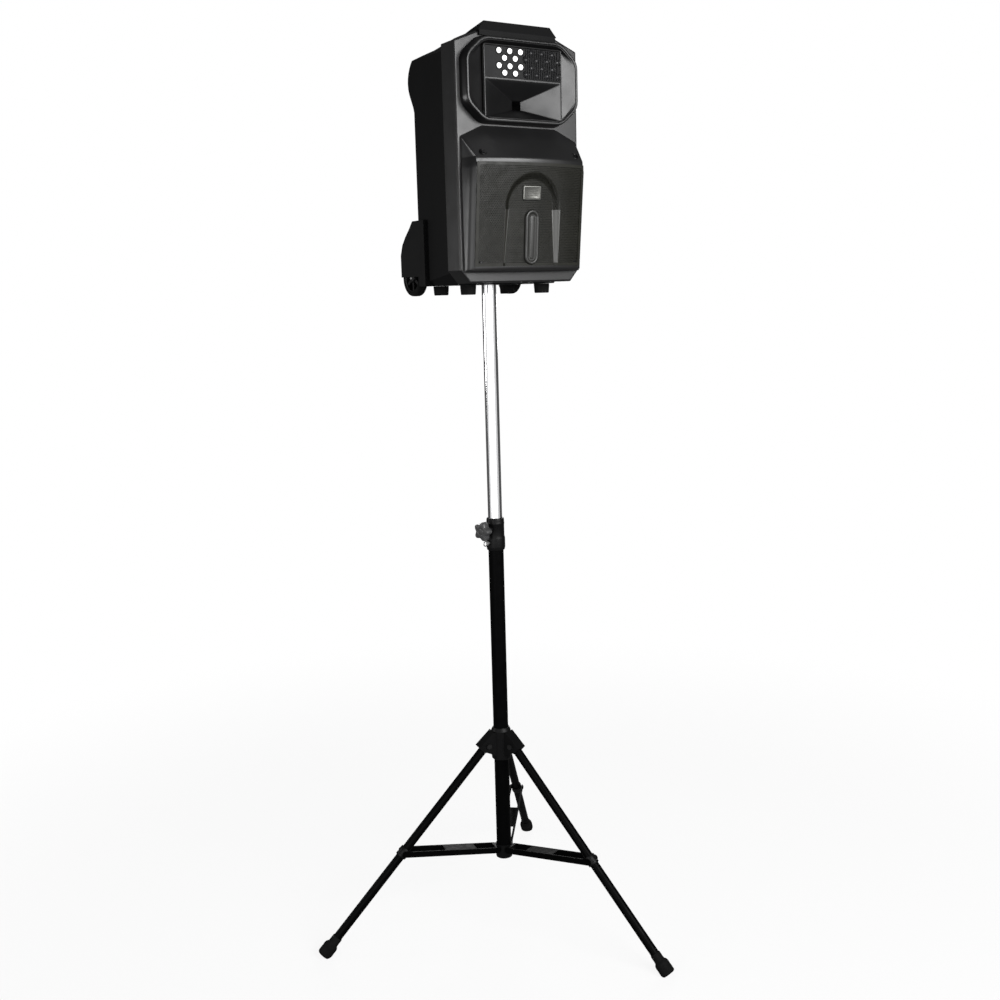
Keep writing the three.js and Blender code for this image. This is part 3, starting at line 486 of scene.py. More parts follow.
def softened(node, width, material, body, segments, angle=25, smooth=SMOOTH_ANGLE):
    """The CAD node's own shape with its hard edges rounded, standing for that node."""
    source = frame["nodes"][node]
    obj = bpy.data.objects.new(node + "_moulded", source.data.copy())
    bpy.context.scene.collection.objects.link(obj)
    made = bmesh.new()
    made.from_mesh(obj.data)
    bmesh.ops.remove_doubles(made, verts=made.verts, dist=CAD_WELD)
    bmesh.ops.dissolve_limit(made, angle_limit=math.radians(1.5), verts=made.verts,
                             edges=made.edges)
    sharp = [e for e in made.edges if len(e.link_faces) == 2
             and e.calc_face_angle(0) > math.radians(angle)]
    bmesh.ops.bevel(made, geom=sharp, offset=width * MM, offset_type="OFFSET", segments=segments,
                    profile=0.5, affect="EDGES", clamp_overlap=True)
    made.to_mesh(obj.data)
    made.free()
    finish_object(obj, material, body, [node], smooth)
    weighted = obj.modifiers.new("flat_faces_stay_flat", "WEIGHTED_NORMAL")
    weighted.keep_sharp = True
    return obj


# ------------------------------------------------------------------ the speaker's front

BEZEL_FRONT = -146.3
# Height, corner half-width, how proud the corner is, bow of the middle, base half-width.
MODULE_LEVELS = [
    (1664.0, 150, 0.0, 0, 153.5), (1664.6, 150, 18, 12, 153.5), (1666.5, 150.6, 22.5, 15, 153.7),
    (1670, 151, 24.3, 16, 154), (1675.7, 151, 24.6, 16.1, 154), (1730, 151, 30, 17, 154),
    (1785, 151, 35.6, 18, 154), (1840, 151, 41.2, 19, 154), (1885, 151, 45.7, 20, 154),
    (1892, 148.6, 46.4, 20, 154), (1898.3, 145.6, 47, 20, 154), (1904, 143, 47.6, 20, 154),
    (1907.5, 141.4, 47.4, 19.9, 154), (1909.5, 140.4, 46.2, 19.7, 154),
]
MODULE_TOP_LEVEL = MODULE_LEVELS[-1][0]      # where the sloping top face begins
MODULE_TOP_HALF = MODULE_LEVELS[-1][1]
MODULE_HALF, MODULE_PEAK = 154, 1981         # the module's back edge, on the bezel
MODULE_WALL = 3.5
GRILLE_HALF = 141.3
GRILLE_LOW, GRILLE_HIGH = 1675.7, 1898.3


def module_numbers(z):
    """Corner half-width, corner depth and bow of the lower module at a height."""
    heights = [level[0] for level in MODULE_LEVELS]
    return [float(np.interp(z, heights, [level[k] for level in MODULE_LEVELS]))
            for k in (1, 2, 3)]


def module_top_edge(x):
    """Height of the module's back edge, which drops towards its two ends."""
    return MODULE_PEAK - 25 * max(abs(x) - 98, 0) / 56


def module_front(x, z):
    half, proud, bow = module_numbers(z)
    return BEZEL_FRONT - proud - bow * (1 - (x / half) ** 2)


def module_profile(level):
    """The module's outline at one level, from its left base round the front to its right base."""
    z, half, proud, bow, base = level
    corner = 15 if proud > 1 else 0.5   # the lowest level is flat on the bezel

    def depth(x):
        return BEZEL_FRONT - proud - bow * (1 - (x / half) ** 2)

    wall = np.array([-base, BEZEL_FRONT, z])
    tip = np.array([-half, depth(-half), z])
    length = max(np.linalg.norm(tip - wall), 0.01)
    on_wall = tip + (wall - tip) * min(corner, 0.8 * length) / length
    on_front = np.array([-half + corner, depth(-half + corner), z])
    left = [wall, wall + (on_wall - wall) * 0.5]
    for t in np.linspace(0, 1, 7):
        left.append((1 - t) ** 2 * on_wall + 2 * t * (1 - t) * tip + t * t * on_front)
    xs = np.linspace(-GRILLE_HALF, GRILLE_HALF, 33)
    left = [p for p in left if p[0] < xs[0] - 0.4]
    while len(left) < 9:
        left.append(left[-1] + (np.array([xs[0], depth(xs[0]), z]) - left[-1]) * 0.4)
    middle = [np.array([x, depth(x), z]) for x in xs]
    # Soften the join of the rounded corner and the bow.
    middle[0][1] += 0.8
    middle[-1][1] += 0.8
    right = [p * np.array([-1, 1, 1]) for p in reversed(left)]
    return left + middle + right


def module_rings():
    rings = [module_profile(level) for level in MODULE_LEVELS]
    top = rings[-1]
    back = []
    for point in top:
        x = float(np.clip(point[0] * MODULE_HALF / MODULE_TOP_HALF, -MODULE_HALF, MODULE_HALF))
        back.append(np.array([x, BEZEL_FRONT, module_top_edge(x)]))
    for share in (0.02, 0.25, 0.5, 0.75, 0.97, 1.0):
        rings.append([a + (b - a) * share for a, b in zip(top, back)])
    return rings


def build_module():
    """The lower module's moulding, open where the grille sits."""
    rings = module_rings()
    columns = len(rings[0])
    points = [tuple(p) for ring in rings for p in ring]
    faces = []
    for r in range(len(rings) - 1):
        for c in range(columns - 1):
            here, above = r * columns + c, (r + 1) * columns + c
            corners = (here, here + 1, above + 1, above)
            centre = sum(np.array(points[i]) for i in corners) / 4
            in_opening = abs(centre[0]) < GRILLE_HALF and GRILLE_LOW < centre[2] < GRILLE_HIGH
            if not in_opening:
                faces.append(corners)
    module = mesh_object("module_moulding", points, faces)
    thicken(module, MODULE_WALL)
    finish_object(module, MODULE, "cabinet", ["module_frame"], 38)


def thicken(obj, millimetres):
    """Gives an open skin a wall on its inner side."""
    solid = obj.modifiers.new("wall", "SOLIDIFY")
    solid.thickness = millimetres * MM
    solid.offset = -1
    solid.use_even_offset = True
    apply_modifiers(obj)


def apply_modifiers(obj):
    graph = bpy.context.evaluated_depsgraph_get()
    mesh = bpy.data.meshes.new_from_object(obj.evaluated_get(graph))
    obj.modifiers.clear()
    obj.data = mesh


ARCH_HALF, ARCH_CENTRE = 70, 1805


def arch_wall(z):
    """Depth of the arch at a height, and the width of its sloping wall: both shrink downwards."""
    share = min(max((z - 1676) / 125, 0), 1)
    return 7 + 5 * share, 6 + 10 * share


def arch_depth(x, z):
    """How far the grille is pressed in at a point."""
    depth, width = arch_wall(z)
    out = (abs(x) if z < ARCH_CENTRE else math.hypot(x, z - ARCH_CENTRE)) - ARCH_HALF
    share = min(max((4 - out) / width, 0), 1)
    return depth * share * share * (3 - 2 * share)


def grille_point(x, z, behind=0.0):
    return (x, module_front(x, z) + arch_depth(x, z) + behind, z)


def build_grille():
    """Perforated sheet steel: staggered six-sided holes, and a plain margin round them."""
    pitch, hole, thick = 4.2, 1.35, 1.0   # between holes, hole radius, sheet
    border_left = 4
    reach = pitch / math.sqrt(3)
    spokes = [math.radians(60 * k + 30) for k in range(6)]
    points, faces = [], []
    rows = int((GRILLE_HIGH - GRILLE_LOW - 2 * border_left) / (pitch * math.sqrt(3) / 2))
    for row in range(rows + 1):
        z = GRILLE_LOW + border_left + row * pitch * math.sqrt(3) / 2
        shift = pitch / 2 if row % 2 else 0
        for column in range(-32, 33):
            x = column * pitch + shift
            if abs(x) > GRILLE_HALF - border_left:
                continue
            start = len(points)
            for distance, behind in ((reach, 0), (hole, 0.12), (hole, thick)):
                points += [grille_point(x + distance * math.cos(a),
                                        z + distance * math.sin(a), behind) for a in spokes]
            for first in (start, start + 6):
                for k in range(6):
                    after = (k + 1) % 6
                    faces.append((first + k, first + after, first + 6 + after, first + 6 + k))
    sheet = mesh_object("grille_sheet", points, faces)
    finish_object(sheet, GRILLE, "cabinet", ["grille"], 60)

    margin = 7.0
    xs = np.linspace(-GRILLE_HALF, GRILLE_HALF, 61)
    strips = []
    for low, high in ((GRILLE_LOW, GRILLE_LOW + margin), (GRILLE_HIGH - margin, GRILLE_HIGH)):
        strips.append(grid([[grille_point(x, z, -0.25) for x in xs]
                            for z in np.linspace(low, high, 4)]))
    zs = np.linspace(GRILLE_LOW + margin, GRILLE_HIGH - margin, 50)
    for low, high in ((-GRILLE_HALF, -GRILLE_HALF + margin), (GRILLE_HALF - margin, GRILLE_HALF)):
        strips.append(grid([[grille_point(x, z, -0.25) for x in np.linspace(low, high, 4)]
                            for z in zs]))
    border = mesh_object("grille_margin", *joined(*strips))
    thicken(border, -1.4)
    finish_object(border, GRILLE, "cabinet")


def build_arch_walls():
    """The smooth sloping walls on the two straight sides of the arch."""
    for side, name in ((-1, "arch_wall_left"), (1, "arch_wall_right")):
        rows = []
        for z in np.linspace(GRILLE_LOW + 0.5, ARCH_CENTRE - 6, 30):
            width = arch_wall(z)[1]
            rows.append([grille_point(side * (ARCH_HALF + out), z, -0.35)
                         for out in np.linspace(4.2, 3.4 - width, 12)])
        wall = mesh_object(name, *grid(rows))
        thicken(wall, -1.2)
        finish_object(wall, ARCH, "cabinet", (), 50)


def grid(rows):
    """Points and faces of a skin over rows of points."""
    width = len(rows[0])
    points = [tuple(p) for row in rows for p in row]
    faces = [(r * width + c, r * width + c + 1, (r + 1) * width + c + 1, (r + 1) * width + c)
             for r in range(len(rows) - 1) for c in range(width - 1)]
    return points, faces


def onto_grille(shell, x, z, stand_off=0.0):
    """Bends a flat plate, drawn with its back at height 0, onto the grille around a point."""
    points, faces = shell
    return [grille_point(x + u, z + v, -h - stand_off) for u, v, h in points], faces


def build_rib():
    """The round-ended bar in the arch, and the badge above it, which carries three plain bars."""
    half, tall = 18.5, 60.5
    levels = [(0, -1), (0, 3), (0.5, 4.4), (1.6, 5.5), (3.2, 6), (5.6, 6), (7.2, 5.3), (8.4, 3.8),
              (9.2, 3.3), (12.4, 3.3), (13, 3.9), (13.6, 4.3), (14.6, 4.5)]
    bar = plate(half, tall, half, levels, 14)
    rib = mesh_object("rib_moulding", *onto_grille(bar, 2, 1738.5))
    finish_object(rib, RIB, "cabinet", ["grille_rib"])

    edge = [(0, -0.5), (0, 2.4), (0.5, 3.1), (1.4, 3.5), (3.2, 3.5), (3.9, 2.9), (4.5, 2.6)]
    badge = [plate(24, 15.5, 4, edge)]
    badge += [moved(plate(13, 0.9, 0.9, [(0, 2.4), (0, 3.1), (0.4, 3.4)], 3),
                    Matrix.Translation((0, v, 0))) for v in (-5, 0, 5)]
    plate_object = mesh_object("badge", *onto_grille(joined(*badge), 0, 1834.5))
    finish_object(plate_object, BADGE, "cabinet", ["badge_plate"])


def screw_shell(radius):
    """A pan-head screw, rising along +Z, and a cross of thin bars standing just proud of its head
    where its cross recess is.
    """
    head = turned([(0, 0.9), (radius * 0.25, 0.9), (radius * 0.8, 0.75), (radius, 0.2),
                   (radius, -1.5)], 24)
    bar = plate(radius * 0.6, radius * 0.13, 0.1, [(0, 0.3), (0, 1.02)], 1)
    return head, joined(bar, moved(bar, Matrix.Rotation(math.pi / 2, 4, "Z")))


def build_front_screws():
    heads, slots = [], []
    for x in (-127, 127):
        for shells, out in zip(screw_shell(4.2), (heads, slots)):
            out.append(onto_grille(shells, x, 1684, 0.3))
    facet = facet_normal()
    for x in (-122, 122):
        matrix = axis_to(facet, facet_point(x, 1919))
        cup = turned([(9, -0.5), (9, 0.5), (8.2, 1.3), (7.2, 1.3), (6.4, 0.4), (5.8, -0.6),
                      (0, -0.6)], 32)
        heads.append(moved(cup, matrix))
        for shells, out in zip(screw_shell(4.6), (heads, slots)):
            out.append(moved(shells, matrix))
    screws = mesh_object("front_screws", *joined(*heads))
    finish_object(screws, NYLON, "cabinet")
    recesses = mesh_object("front_screw_slots", *joined(*slots))
    finish_object(recesses, GLOSS, "cabinet")


def facet_point(x, z):
    """A point on the module's sloping top face."""
    low = module_front(min(abs(x), 140), MODULE_TOP_LEVEL)
    share = (z - MODULE_TOP_LEVEL) / (module_top_edge(x) - MODULE_TOP_LEVEL)
    return (x, low + (BEZEL_FRONT - low) * share, z)


def facet_normal():
    a, b, c = (Vector(facet_point(*p)) for p in ((-10, 1920), (10, 1920), (0, 1950)))
    normal = (b - a).cross(c - a).normalized()
    return normal if normal.y < 0 else -normal


# ------------------------------------------------------------------ upper trim, horn and lights

TRIM_HALF, TRIM_LOW, TRIM_HIGH = 150, 1984, 2168


def rounded_corners(corners, radius, y, steps=5):
    """A closed outline of (x, z) corners in a plane of constant Y, with every corner rounded."""
    points = []
    count = len(corners)
    for i, corner in enumerate(corners):
        here = np.array(corner, float)
        before = np.array(corners[i - 1], float) - here
        after = np.array(corners[(i + 1) % count], float) - here
        cut = min(radius, 0.45 * np.linalg.norm(before), 0.45 * np.linalg.norm(after))
        a = here + before / np.linalg.norm(before) * cut
        b = here + after / np.linalg.norm(after) * cut
        for t in np.linspace(0, 1, steps):
            x, z = (1 - t) ** 2 * a + 2 * t * (1 - t) * here + t * t * b
            points.append((x, y, z))
    return points


def cut_rectangle(half, low, high, cut_x, cut_z, radius, y):
    """An upright rectangle with its four corners cut off, in a plane of constant Y."""
    corners = [(half - cut_x, low), (half, low + cut_z), (half, high - cut_z), (half - cut_x, high)]
    corners += [(-x, z) for x, z in reversed(corners)]
    return rounded_corners(corners, radius, y)


def octagon(inset, y):
    return cut_rectangle(TRIM_HALF - inset, TRIM_LOW + inset, TRIM_HIGH - inset,
                         45 - 0.4 * inset, 40 - 0.4 * inset, 16, y)


def window(y, grow=0.0):
    return cut_rectangle(103 + grow, 1993 - grow, 2149 + grow, 3, 3, 1, y)


def build_trim():
    """The eight-sided surround, and the frame and crossbar of its window."""
    outer = [octagon(0, -146.4), octagon(0.6, -150), octagon(2.4, -163), octagon(2.9, -168),
             octagon(3.5, -170.8), octagon(4.6, -172.5), octagon(6.2, -173)]
    inner = [octagon(8.4, -172.9), octagon(9.6, -172.1), octagon(10.4, -171.1),
             octagon(11.3, -170.8)]
    funnel = [window(-162.6, 0.9), window(-161.6, 0), window(-155, 0), window(-146.8, 0)]
    trim = mesh_object("upper_trim_moulding", *loft(outer + inner + funnel, looped=True))
    finish_object(trim, TRIM, "cabinet", ["upper_trim"], 30)

    frame_levels = [(0, 0), (0, 7.6), (0.5, 8.3), (1.4, 8.5), (2.2, 8.2), (2.6, 7.4), (2.6, 0)]
    rings = [[(x, -163.2 - h, 2071.5 + z) for x, z in rounded_outline(102.4, 77.4, 4, inset)]
             for inset, h in frame_levels]
    surround = loft(rings, closed_ends=False, looped=True)
    bar = moved(plate(99.8, 1.9, 0.6, [(0, 0), (0, 6.6), (0.5, 7.2)], 3),
                on_front((0, -163.2, 2078)))
    frame_object = mesh_object("window_frame", *joined(surround, bar))
    finish_object(frame_object, MODULE, "cabinet")


def build_horn():
    """A flare that narrows from its mouth, at share 0, to its throat, at share 1."""
    def ring(share, grow, y):
        half = 98 + (11.5 - 98) * share + grow
        low = 1996 + (2018.5 - 1996) * share - grow
        high = 2075.6 + (2037.5 - 2075.6) * share + grow
        return [(x, y, (low + high) / 2 + z)
                for x, z in rounded_outline(half, (high - low) / 2, 2 + 1.5 * (1 - share), 0, 4)]
    curve = [0, 0.03, 0.1, 0.22, 0.36, 0.5, 0.64, 0.78, 0.9, 1.0]
    inner = [ring(share, 0, -169.2 + 31.2 * share ** 1.12) for share in curve]
    inner.append(ring(1, 0, -100))
    outer = [ring(1, 2.8, -100)] + [ring(share, 2.8, -166.6 + 31.2 * share ** 1.12)
                                     for share in reversed(curve)]
    lip = [ring(0, 3.6, -166), ring(0, 3.6, -169.4), ring(0, 2.4, -170)]
    horn = mesh_object("horn_flare", *loft(inner + outer + lip, looped=True))
    finish_object(horn, HORN, "cabinet", ["horn"], 50)


LED_ROWS = [(2137, -62), (2122, -48), (2105.5, -62), (2091, -48)]   # height, first lamp's X
LED_PITCH = 28
LED_COLUMNS, LED_EDGE = 6, 94


def build_lights():
    """The smoked panel, ribbed on its right half, and its lamps, with those on the left lit."""
    panel = [moved(plate(100.9, 33, 3, [(0, 0), (0, 2.3), (0.5, 2.9)]),
                   on_front((0, -166, 2113)))]
    profile = ((-2, 0), (-1.7, 0.9), (-0.9, 1.7), (0, 1.9), (0.9, 1.7), (1.7, 0.9), (2, 0))
    for x in np.arange(9, 97, 4.9):
        panel.append(grid([[(x + dx, -168.8 - dy, z) for dx, dy in profile]
                           for z in (2082, 2144)]))
    board = mesh_object("light_panel", *joined(*panel))
    finish_object(board, LENS, "cabinet", ["led_lens"])

    cups, lit, unlit = [], [], []
    dome = turned([(0, 3.6), (2, 3.4), (4, 2.6), (5.3, 1.5), (5.8, 0.2), (5.8, -0.4)], 24)
    cup = turned([(8.4, -0.3), (8.4, 1.0), (7.9, 1.5), (7.3, 1.3), (6.2, 0.0), (5.6, -0.3)], 28,
                 looped=True)
    for row, (z, first) in enumerate(LED_ROWS):
        for column in range(LED_COLUMNS):
            x = first + column * LED_PITCH
            if x > LED_EDGE:
                continue
            place = on_front((x, -168.9, z))
            is_lit = column in (0, 1) or (column == 2 and row % 2 == 0)
            cups.append(moved(cup, place))
            (lit if is_lit else unlit).append(moved(dome, place))
    finish_object(mesh_object("light_cups", *joined(*cups)), TRIM, "cabinet")
    finish_object(mesh_object("lights_lit", *joined(*lit)), LAMP_ON, "cabinet")
    finish_object(mesh_object("lights_unlit", *joined(*unlit)), LAMP_OFF, "cabinet")


# ------------------------------------------------------------------ the stand

LEG_AZIMUTHS = (170, 290, 50)
LEG_PIVOT_R, LEG_PIVOT_Z, LEG_ANGLE = 39.6, 478, 43.6


def leg_matrix(azimuth):
    """From a leg drawn hanging down from the origin to its place."""
    return (Matrix.Rotation(math.radians(azimuth), 4, "Z")
            @ Matrix.Translation((LEG_PIVOT_R, 0, LEG_PIVOT_Z))
            @ Matrix.Rotation(math.radians(-LEG_ANGLE), 4, "Y"))


def build_tube(name, profile, material, body, node, sides=64, matrix=None):
    """A turned piece: hollow if its profile stays off the axis, and solid if it starts on it."""
    shell = turned(profile, sides, looped=profile[0][0] > 0)
    if matrix:
        shell = moved(shell, matrix)
    finish_object(mesh_object(name, *shell), material, body, [node], 40)


def tube_profile(outer, inner, low, high, round_off=0.6):
    return [(inner, low), (outer - round_off, low), (outer, low + round_off),
            (outer, high - round_off), (outer - round_off, high), (inner, high)]


def star(radius, lobe, count, steps=90):
    """A star knob's outline as (x, y) points."""
    points = []
    for i in range(steps):
        angle = 2 * math.pi * i / steps
        reach = radius + lobe * math.cos(count * angle)
        points.append((reach * math.cos(angle), reach * math.sin(angle)))
    return points


def outward(azimuth, height):
    """From a piece drawn about +Z to one that points out of the pole at an azimuth and height."""
    angle = math.radians(azimuth)
    return axis_to((math.cos(angle), math.sin(angle), 0), (0, 0, height))


KNOB_STEM_FROM = 19.5   # from the pole axis, just outside the column's wall


def build_star_knob(name, azimuth, height, radius, lobe, near, far):
    """A five-lobed clamp knob from near to far along its axis, with a round dimple in its face."""
    outline = star(radius, lobe, 5)
    lobed = [(0.86, near), (0.95, near + 0.8), (1, near + 2.4), (1, far - 4), (0.97, far - 2),
             (0.9, far - 0.7), (0.78, far - 0.1)]
    dimple = [(0.5, far - 0.1), (0.44, far - 1.0), (0.4, far - 1.1), (0.36, far - 0.4),
              (0.3, far - 0.1), (0.05, far)]
    rings = [[(x * scale, y * scale, level) for x, y in outline] for scale, level in lobed]
    for scale, level in dimple:
        rings.append([(math.cos(math.atan2(y, x)) * radius * scale,
                       math.sin(math.atan2(y, x)) * radius * scale, level) for x, y in outline])
    head = loft(rings)
    boss = turned([(0, near - 3), (7.6, near - 3), (8.6, near - 1.5), (9, near + 0.5),
                   (0, near + 0.5)], 40)
    stem = turned([(0, KNOB_STEM_FROM), (3.4, KNOB_STEM_FROM), (4, KNOB_STEM_FROM + 0.6),
                   (4, near), (0, near)], 24)
    place = outward(azimuth, height)
    knob = mesh_object(name + "_moulded", *moved(joined(head, boss, stem), place))
    finish_object(knob, KNOB_NYLON, name, [name], 35)


COLLAR_AZIMUTH = 195
COLLAR_BOSSES = ((1040, 9.5, 4.6, 32), (1007, 6, 3.4, 27))   # height, radius, bore, how far out


def build_column_and_mast():
    build_tube("column_pipe", tube_profile(19, 17.9, 172, 1044), POWDER_COAT,
               "column", "column_tube")
    build_tube("mast_pipe", tube_profile(17.5, 15.5, 760, 1737), CHROME, "mast",
               "mast_tube", 96)
    build_tube("mast_foot", [(0, 748), (15.4, 748), (16.8, 748.8), (17.4, 750.2), (17.5, 759.6),
                             (15.2, 759.7), (15.2, 782), (0, 782)],
               NYLON, "mast", "mast_foot_plug")
    build_tube("mast_cap_plug", [(0, 1712), (15.2, 1712), (15.2, 1737.3), (17.2, 1737.3),
                                 (17.2, 1741), (15.5, 1743), (0, 1743)],
               NYLON, "mast_cap", "mast_top_plug")


def build_collar():
    """The clamp on top of the column, with the bosses that its knob and its pull pin go through."""
    collar = [(19.3, 987), (21, 987), (22, 987.8), (23.4, 994), (23.5, 996), (23.5, 1016),
              (23.2, 1018), (22.1, 1022), (22, 1024), (22, 1052), (22.5, 1053), (22.5, 1056),
              (22, 1057), (22, 1062), (21.6, 1065), (20.6, 1067.6), (19.4, 1068), (18.2, 1068),
              (18.2, 1044.4), (19.3, 1044.4)]
    bosses = []
    for height, radius, bore, reach in COLLAR_BOSSES:
        boss = turned([(bore, 20), (radius, 20), (radius, reach - 1.2), (radius - 1.2, reach),
                       (bore, reach)], 40, looped=True)
        bosses.append(moved(boss, outward(COLLAR_AZIMUTH, height)))
    clamp = mesh_object("collar_moulded", *joined(turned(collar, 72, looped=True), *bosses))
    finish_object(clamp, NYLON, "column", ["collar_clamp"], 35)


def build_leg(index, azimuth):
    """A leg with its rubber boot and brace ring, and the brace to it."""
    body = f"leg_{index}"
    place = leg_matrix(azimuth)
    softened(f"leg_tube_{index}", 0.4, POWDER_COAT, body, 1, 40, 50)
    boot = [(0, -655.9), (14.6, -655.9), (16.8, -654.6), (18, -651.6), (18, -640), (17.6, -637),
            (18, -634), (18, -629), (17.3, -625.5), (15.6, -622.6), (13.6, -620.6), (12.9, -617),
            (12.7, -602), (12.2, -600.4), (11.3, -600.2), (11.3, -628.3), (0, -628.3)]
    boot_object = mesh_object(f"leg_boot_{index}", *moved(turned(boot, 48), place))
    cut_at_floor(boot_object)
    finish_object(boot_object, RUBBER, body, [f"leg_foot_{index}"], 35)
    clip = [(11.3, -352), (13.4, -352), (14, -351.2), (14, -346), (13.4, -345.4), (13.4, -334.6),
            (14, -334), (14, -328.8), (13.4, -328), (11.3, -328)]
    build_tube(f"leg_clip_{index}", clip, NYLON, body, f"leg_bracket_{index}", 48, place)
    softened(f"brace_{index}", 0.7, POWDER_COAT, f"brace_{index}", 2, 40)


def build_stand():
    build_column_and_mast()
    build_collar()
    build_star_knob("collar_knob", COLLAR_AZIMUTH, 1040, 21, 3.5, 36, 54)
    build_star_knob("hub_knob", 110, 455, 14, 2.5, 36, 50)
    softened("tripod_hub", 0.9, NYLON, "hub", 2)
    softened("lower_hub", 0.7, NYLON, "column", 2)
    for index, azimuth in enumerate(LEG_AZIMUTHS, 1):
        build_leg(index, azimuth)


def cut_at_floor(obj):
    """Trims a piece flat where it meets the floor."""
    made = bmesh.new()
    made.from_mesh(obj.data)
    found = bmesh.ops.bisect_plane(made, geom=made.verts[:] + made.edges[:] + made.faces[:],
                                   plane_co=(0, 0, 0), plane_no=(0, 0, 1), clear_inner=True)
    rim = [item for item in found["geom_cut"] if isinstance(item, bmesh.types.BMEdge)]
    bmesh.ops.edgeloop_fill(made, edges=rim)
    made.to_mesh(obj.data)
    made.free()


# ------------------------------------------------------------------ wheels, feet and the rear


def build_wheels():
    for name in ("wheel_left", "wheel_right"):
        low, high = box_mm(name)
        centre = (low + high) / 2
        tyre = turned([(33.5, -9), (34.5, -11.4), (37, -12), (40.5, -11.8), (42.8, -10),
                       (43.7, -7.5), (43.7, -4.4), (42.9, -4.0), (42.9, -3.2), (43.9, -2.8),
                       (43.9, 2.8), (42.9, 3.2), (42.9, 4.0), (43.7, 4.4), (43.7, 7.5),
                       (42.8, 10), (40.5, 11.8), (37, 12), (34.5, 11.4), (33.5, 9)], 96,
                      looped=True)
        rim = turned([(30, -6), (30.8, -9.4), (33.6, -10), (33.6, 10), (30.8, 9.4), (30, 6),
                      (29.4, 2), (29.4, -2)], 96, looped=True)
        hub = turned([(4.7, -11.6), (9, -11.6), (10.6, -10.8), (12, -8.4), (12, 8.4), (10.6, 10.8),
                      (9, 11.6), (4.7, 11.6)], 48, looped=True)
        spokes = []
        for k in range(6):
            spoke = plate(10, 3.4, 2, [(0, -7), (0, -6.4), (0, 6.4), (1.2, 7)], 3)
            turn = Matrix.Rotation(math.radians(60 * k), 4, "Z") @ Matrix.Translation((20.6, 0, 0))
            spokes.append(moved(spoke, turn))
        place = axis_to((1, 0, 0), centre)
        piece = mesh_object(name + "_tyre", *moved(tyre, place))
        finish_object(piece, RUBBER, name, [name], 35)
        piece = mesh_object(name + "_spokes", *moved(joined(rim, hub, *spokes), place))
        finish_object(piece, NYLON, name, (), 35)


def build_feet():
    foot = turned([(0, 0), (4.5, 0), (5, 2.5), (9, 2.5), (9.6, 0), (15.6, 0), (16.6, 0.6),
                   (17.2, 2.4), (18.4, 17), (18.5, 21.9), (0, 21.9)], 48)
    nodes = [f"cabinet_foot_{number}" for number in range(1, 5)]
    feet = []
    for node in nodes:
        low, high = box_mm(node)
        middle = (low + high) / 2
        feet.append(moved(foot, Matrix.Translation((middle.x, middle.y, low.z))))
    piece = mesh_object("cabinet_feet", *joined(*feet))
    finish_object(piece, RUBBER, "cabinet", nodes, 35)


PANEL_REAR = 98.3                 # the amplifier panel's face
PANEL_KNOBS_X, PANEL_KNOBS_Z = (-42, 0, 42), 2020
PANEL_SOCKETS_X, PANEL_SOCKETS_Z = (-42, -14, 14, 42), 1985
PANEL_SCREWS_X, PANEL_SCREWS_Z = (-57, 57), (1829, 1900, 1975, 2051)


def build_rear_fittings():
    """On the amplifier panel: sockets, the marks round its knobs, a blank plate, and screws whose
    cross recesses are painted shade.
    """
    dark, rings, caps = [], [], []
    ring = turned([(4.2, -0.5), (7, -0.5), (7, 1.4), (6.2, 2), (4.8, 2), (4.2, 1.4)], 40,
                  looped=True)
    for x in PANEL_SOCKETS_X:
        place = on_rear((x, PANEL_REAR, PANEL_SOCKETS_Z))
        rings.append(moved(ring, place))
        dark.append(moved(turned([(0, 0.4), (4.4, 0.4), (4.4, -0.3)], 32), place))
    tick = plate(0.35, 1.2, 0.2, [(0, -0.1), (0, 0.35)], 2)
    for x in PANEL_KNOBS_X:
        for step in range(11):
            angle = math.radians(-150 + 30 * step)
            turn = Matrix.Rotation(-angle, 4, "Z") @ Matrix.Translation((0, 14, 0))
            rings.append(moved(tick, on_rear((x, PANEL_REAR, PANEL_KNOBS_Z)) @ turn))
    dark.append(moved(plate(24, 9, 2, [(0, -0.2), (0, 1.1), (0.7, 1.6)]),
                      on_rear((0, PANEL_REAR, 1868))))
    # The screw crosses go in the gloss black list and sit on steel heads: painted shade where the
    # cross recesses are.
    head, slots = screw_shell(3.2)
    for x in PANEL_SCREWS_X:
        for z in PANEL_SCREWS_Z:
            place = on_rear((x, PANEL_REAR, z))
            caps.append(moved(head, place))
            dark.append(moved(slots, place))
    finish_object(mesh_object("panel_rings", *joined(*rings)), STEEL, "cabinet")
    finish_object(mesh_object("panel_sockets_plate_and_slot_shade", *joined(*dark)), GLOSS, "cabinet")
    finish_object(mesh_object("panel_screws", *joined(*caps)), STEEL, "cabinet")


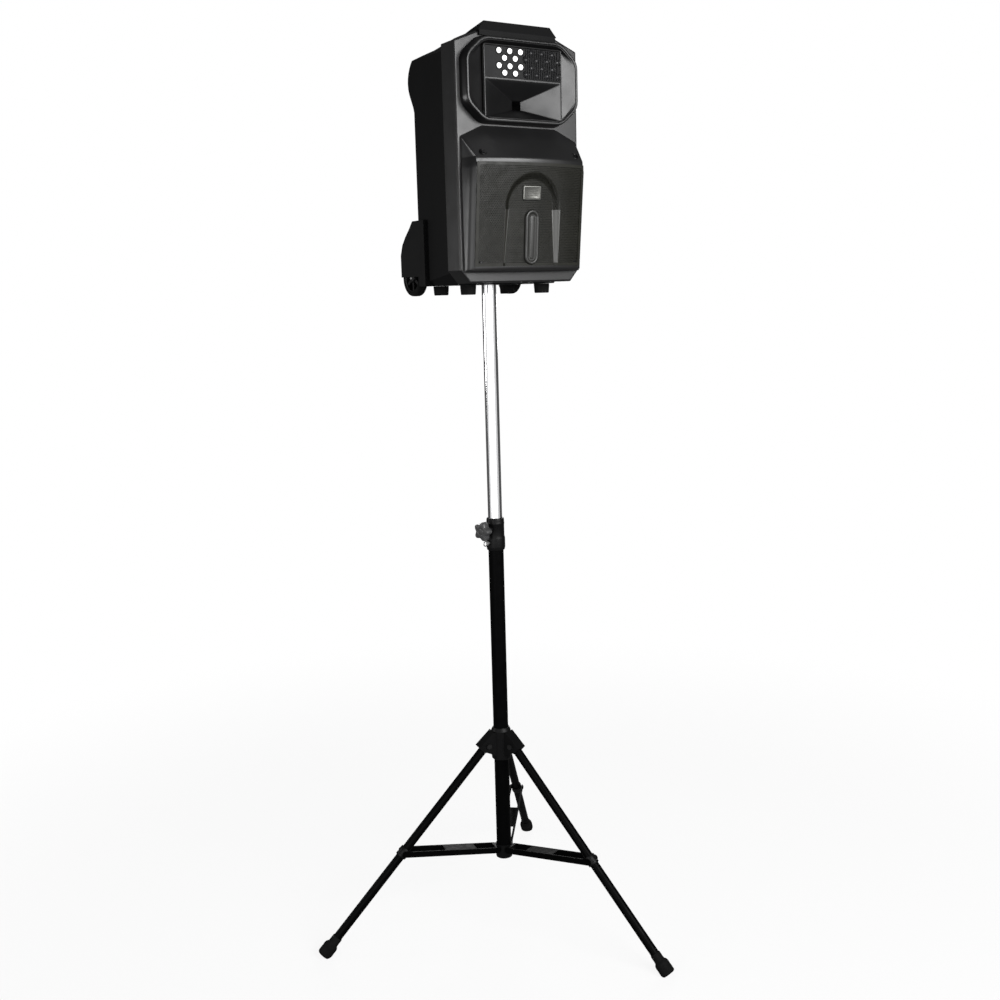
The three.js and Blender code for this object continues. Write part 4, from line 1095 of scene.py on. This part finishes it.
def build_amp_knobs():
    for name in ("knob_volume", "knob_bass", "knob_treble"):
        low, high = box_mm(name)
        radius, tall = (high.x - low.x) / 2, high.y - low.y
        levels = [(0.98, 0), (1, 1.5), (0.97, tall * 0.45), (0.86, tall * 0.6),
                  (0.8, tall - 1.2), (0.74, tall - 0.2), (0.66, tall), (0.05, tall)]
        outline = star(radius - 0.35, 0.35, 20, 120)
        rings = [[(x * scale, y * scale, level) for x, y in outline] for scale, level in levels]
        pointer = moved(plate(0.7, 3.2, 0.6, [(0, tall - 1), (0, tall + 0.25)], 3),
                        Matrix.Translation((0, radius * 0.38, 0)))
        place = on_rear(((low.x + high.x) / 2, low.y, (low.z + high.z) / 2))
        knob = mesh_object(name + "_cap", *moved(loft(rings), place))
        finish_object(knob, NYLON, name, [name], 40)
        line = mesh_object(name + "_line", *moved(pointer, place))
        finish_object(line, STEEL, name)


def build_cabinet():
    softened("rear_shell", 4.0, SHELL, "cabinet", 4)
    softened("front_bezel", 1.6, BEZEL, "cabinet", 3)
    softened("carry_handle", 2.6, SHELL, "cabinet", 4)
    softened("amp_panel", 0.6, ALUMINIUM, "cabinet", 2)
    softened("power_switch", 0.5, GLOSS, "power_switch", 2)
    softened("trolley_grip", 3.0, NYLON, "trolley", 4)
    softened("trolley_button", 0.6, BEZEL, "trolley_button", 2)


# ------------------------------------------------------------------ assembly

add_camera()
add_floor()
add_surroundings()
add_lights()

NODE_LOOKS = {
    "shell": SHELL, "bezel": BEZEL, "grille": GRILLE, "gloss": GLOSS, "badge": BADGE,
    "powder_coat": POWDER_COAT, "chrome": CHROME, "rubber": RUBBER, "nylon": NYLON, "steel": STEEL,
    "cast_iron": CAST_IRON, "aluminium": ALUMINIUM, "board": BOARD, "paper": PAPER,
}
for subpart in frame["record"]["subparts"]:
    node = frame["nodes"][subpart["node"]]
    node.data.materials.clear()
    node.data.materials.append(NODE_LOOKS[subpart["material_slot"]])
for number in (1, 2, 3):
    frame["nodes"][f"leg_bolt_{number}"].data.materials[0] = BOLT

build_cabinet()
build_module()
build_grille()
build_arch_walls()
build_rib()
build_front_screws()
build_trim()
build_horn()
build_lights()
build_stand()
build_wheels()
build_feet()
build_rear_fittings()
build_amp_knobs()
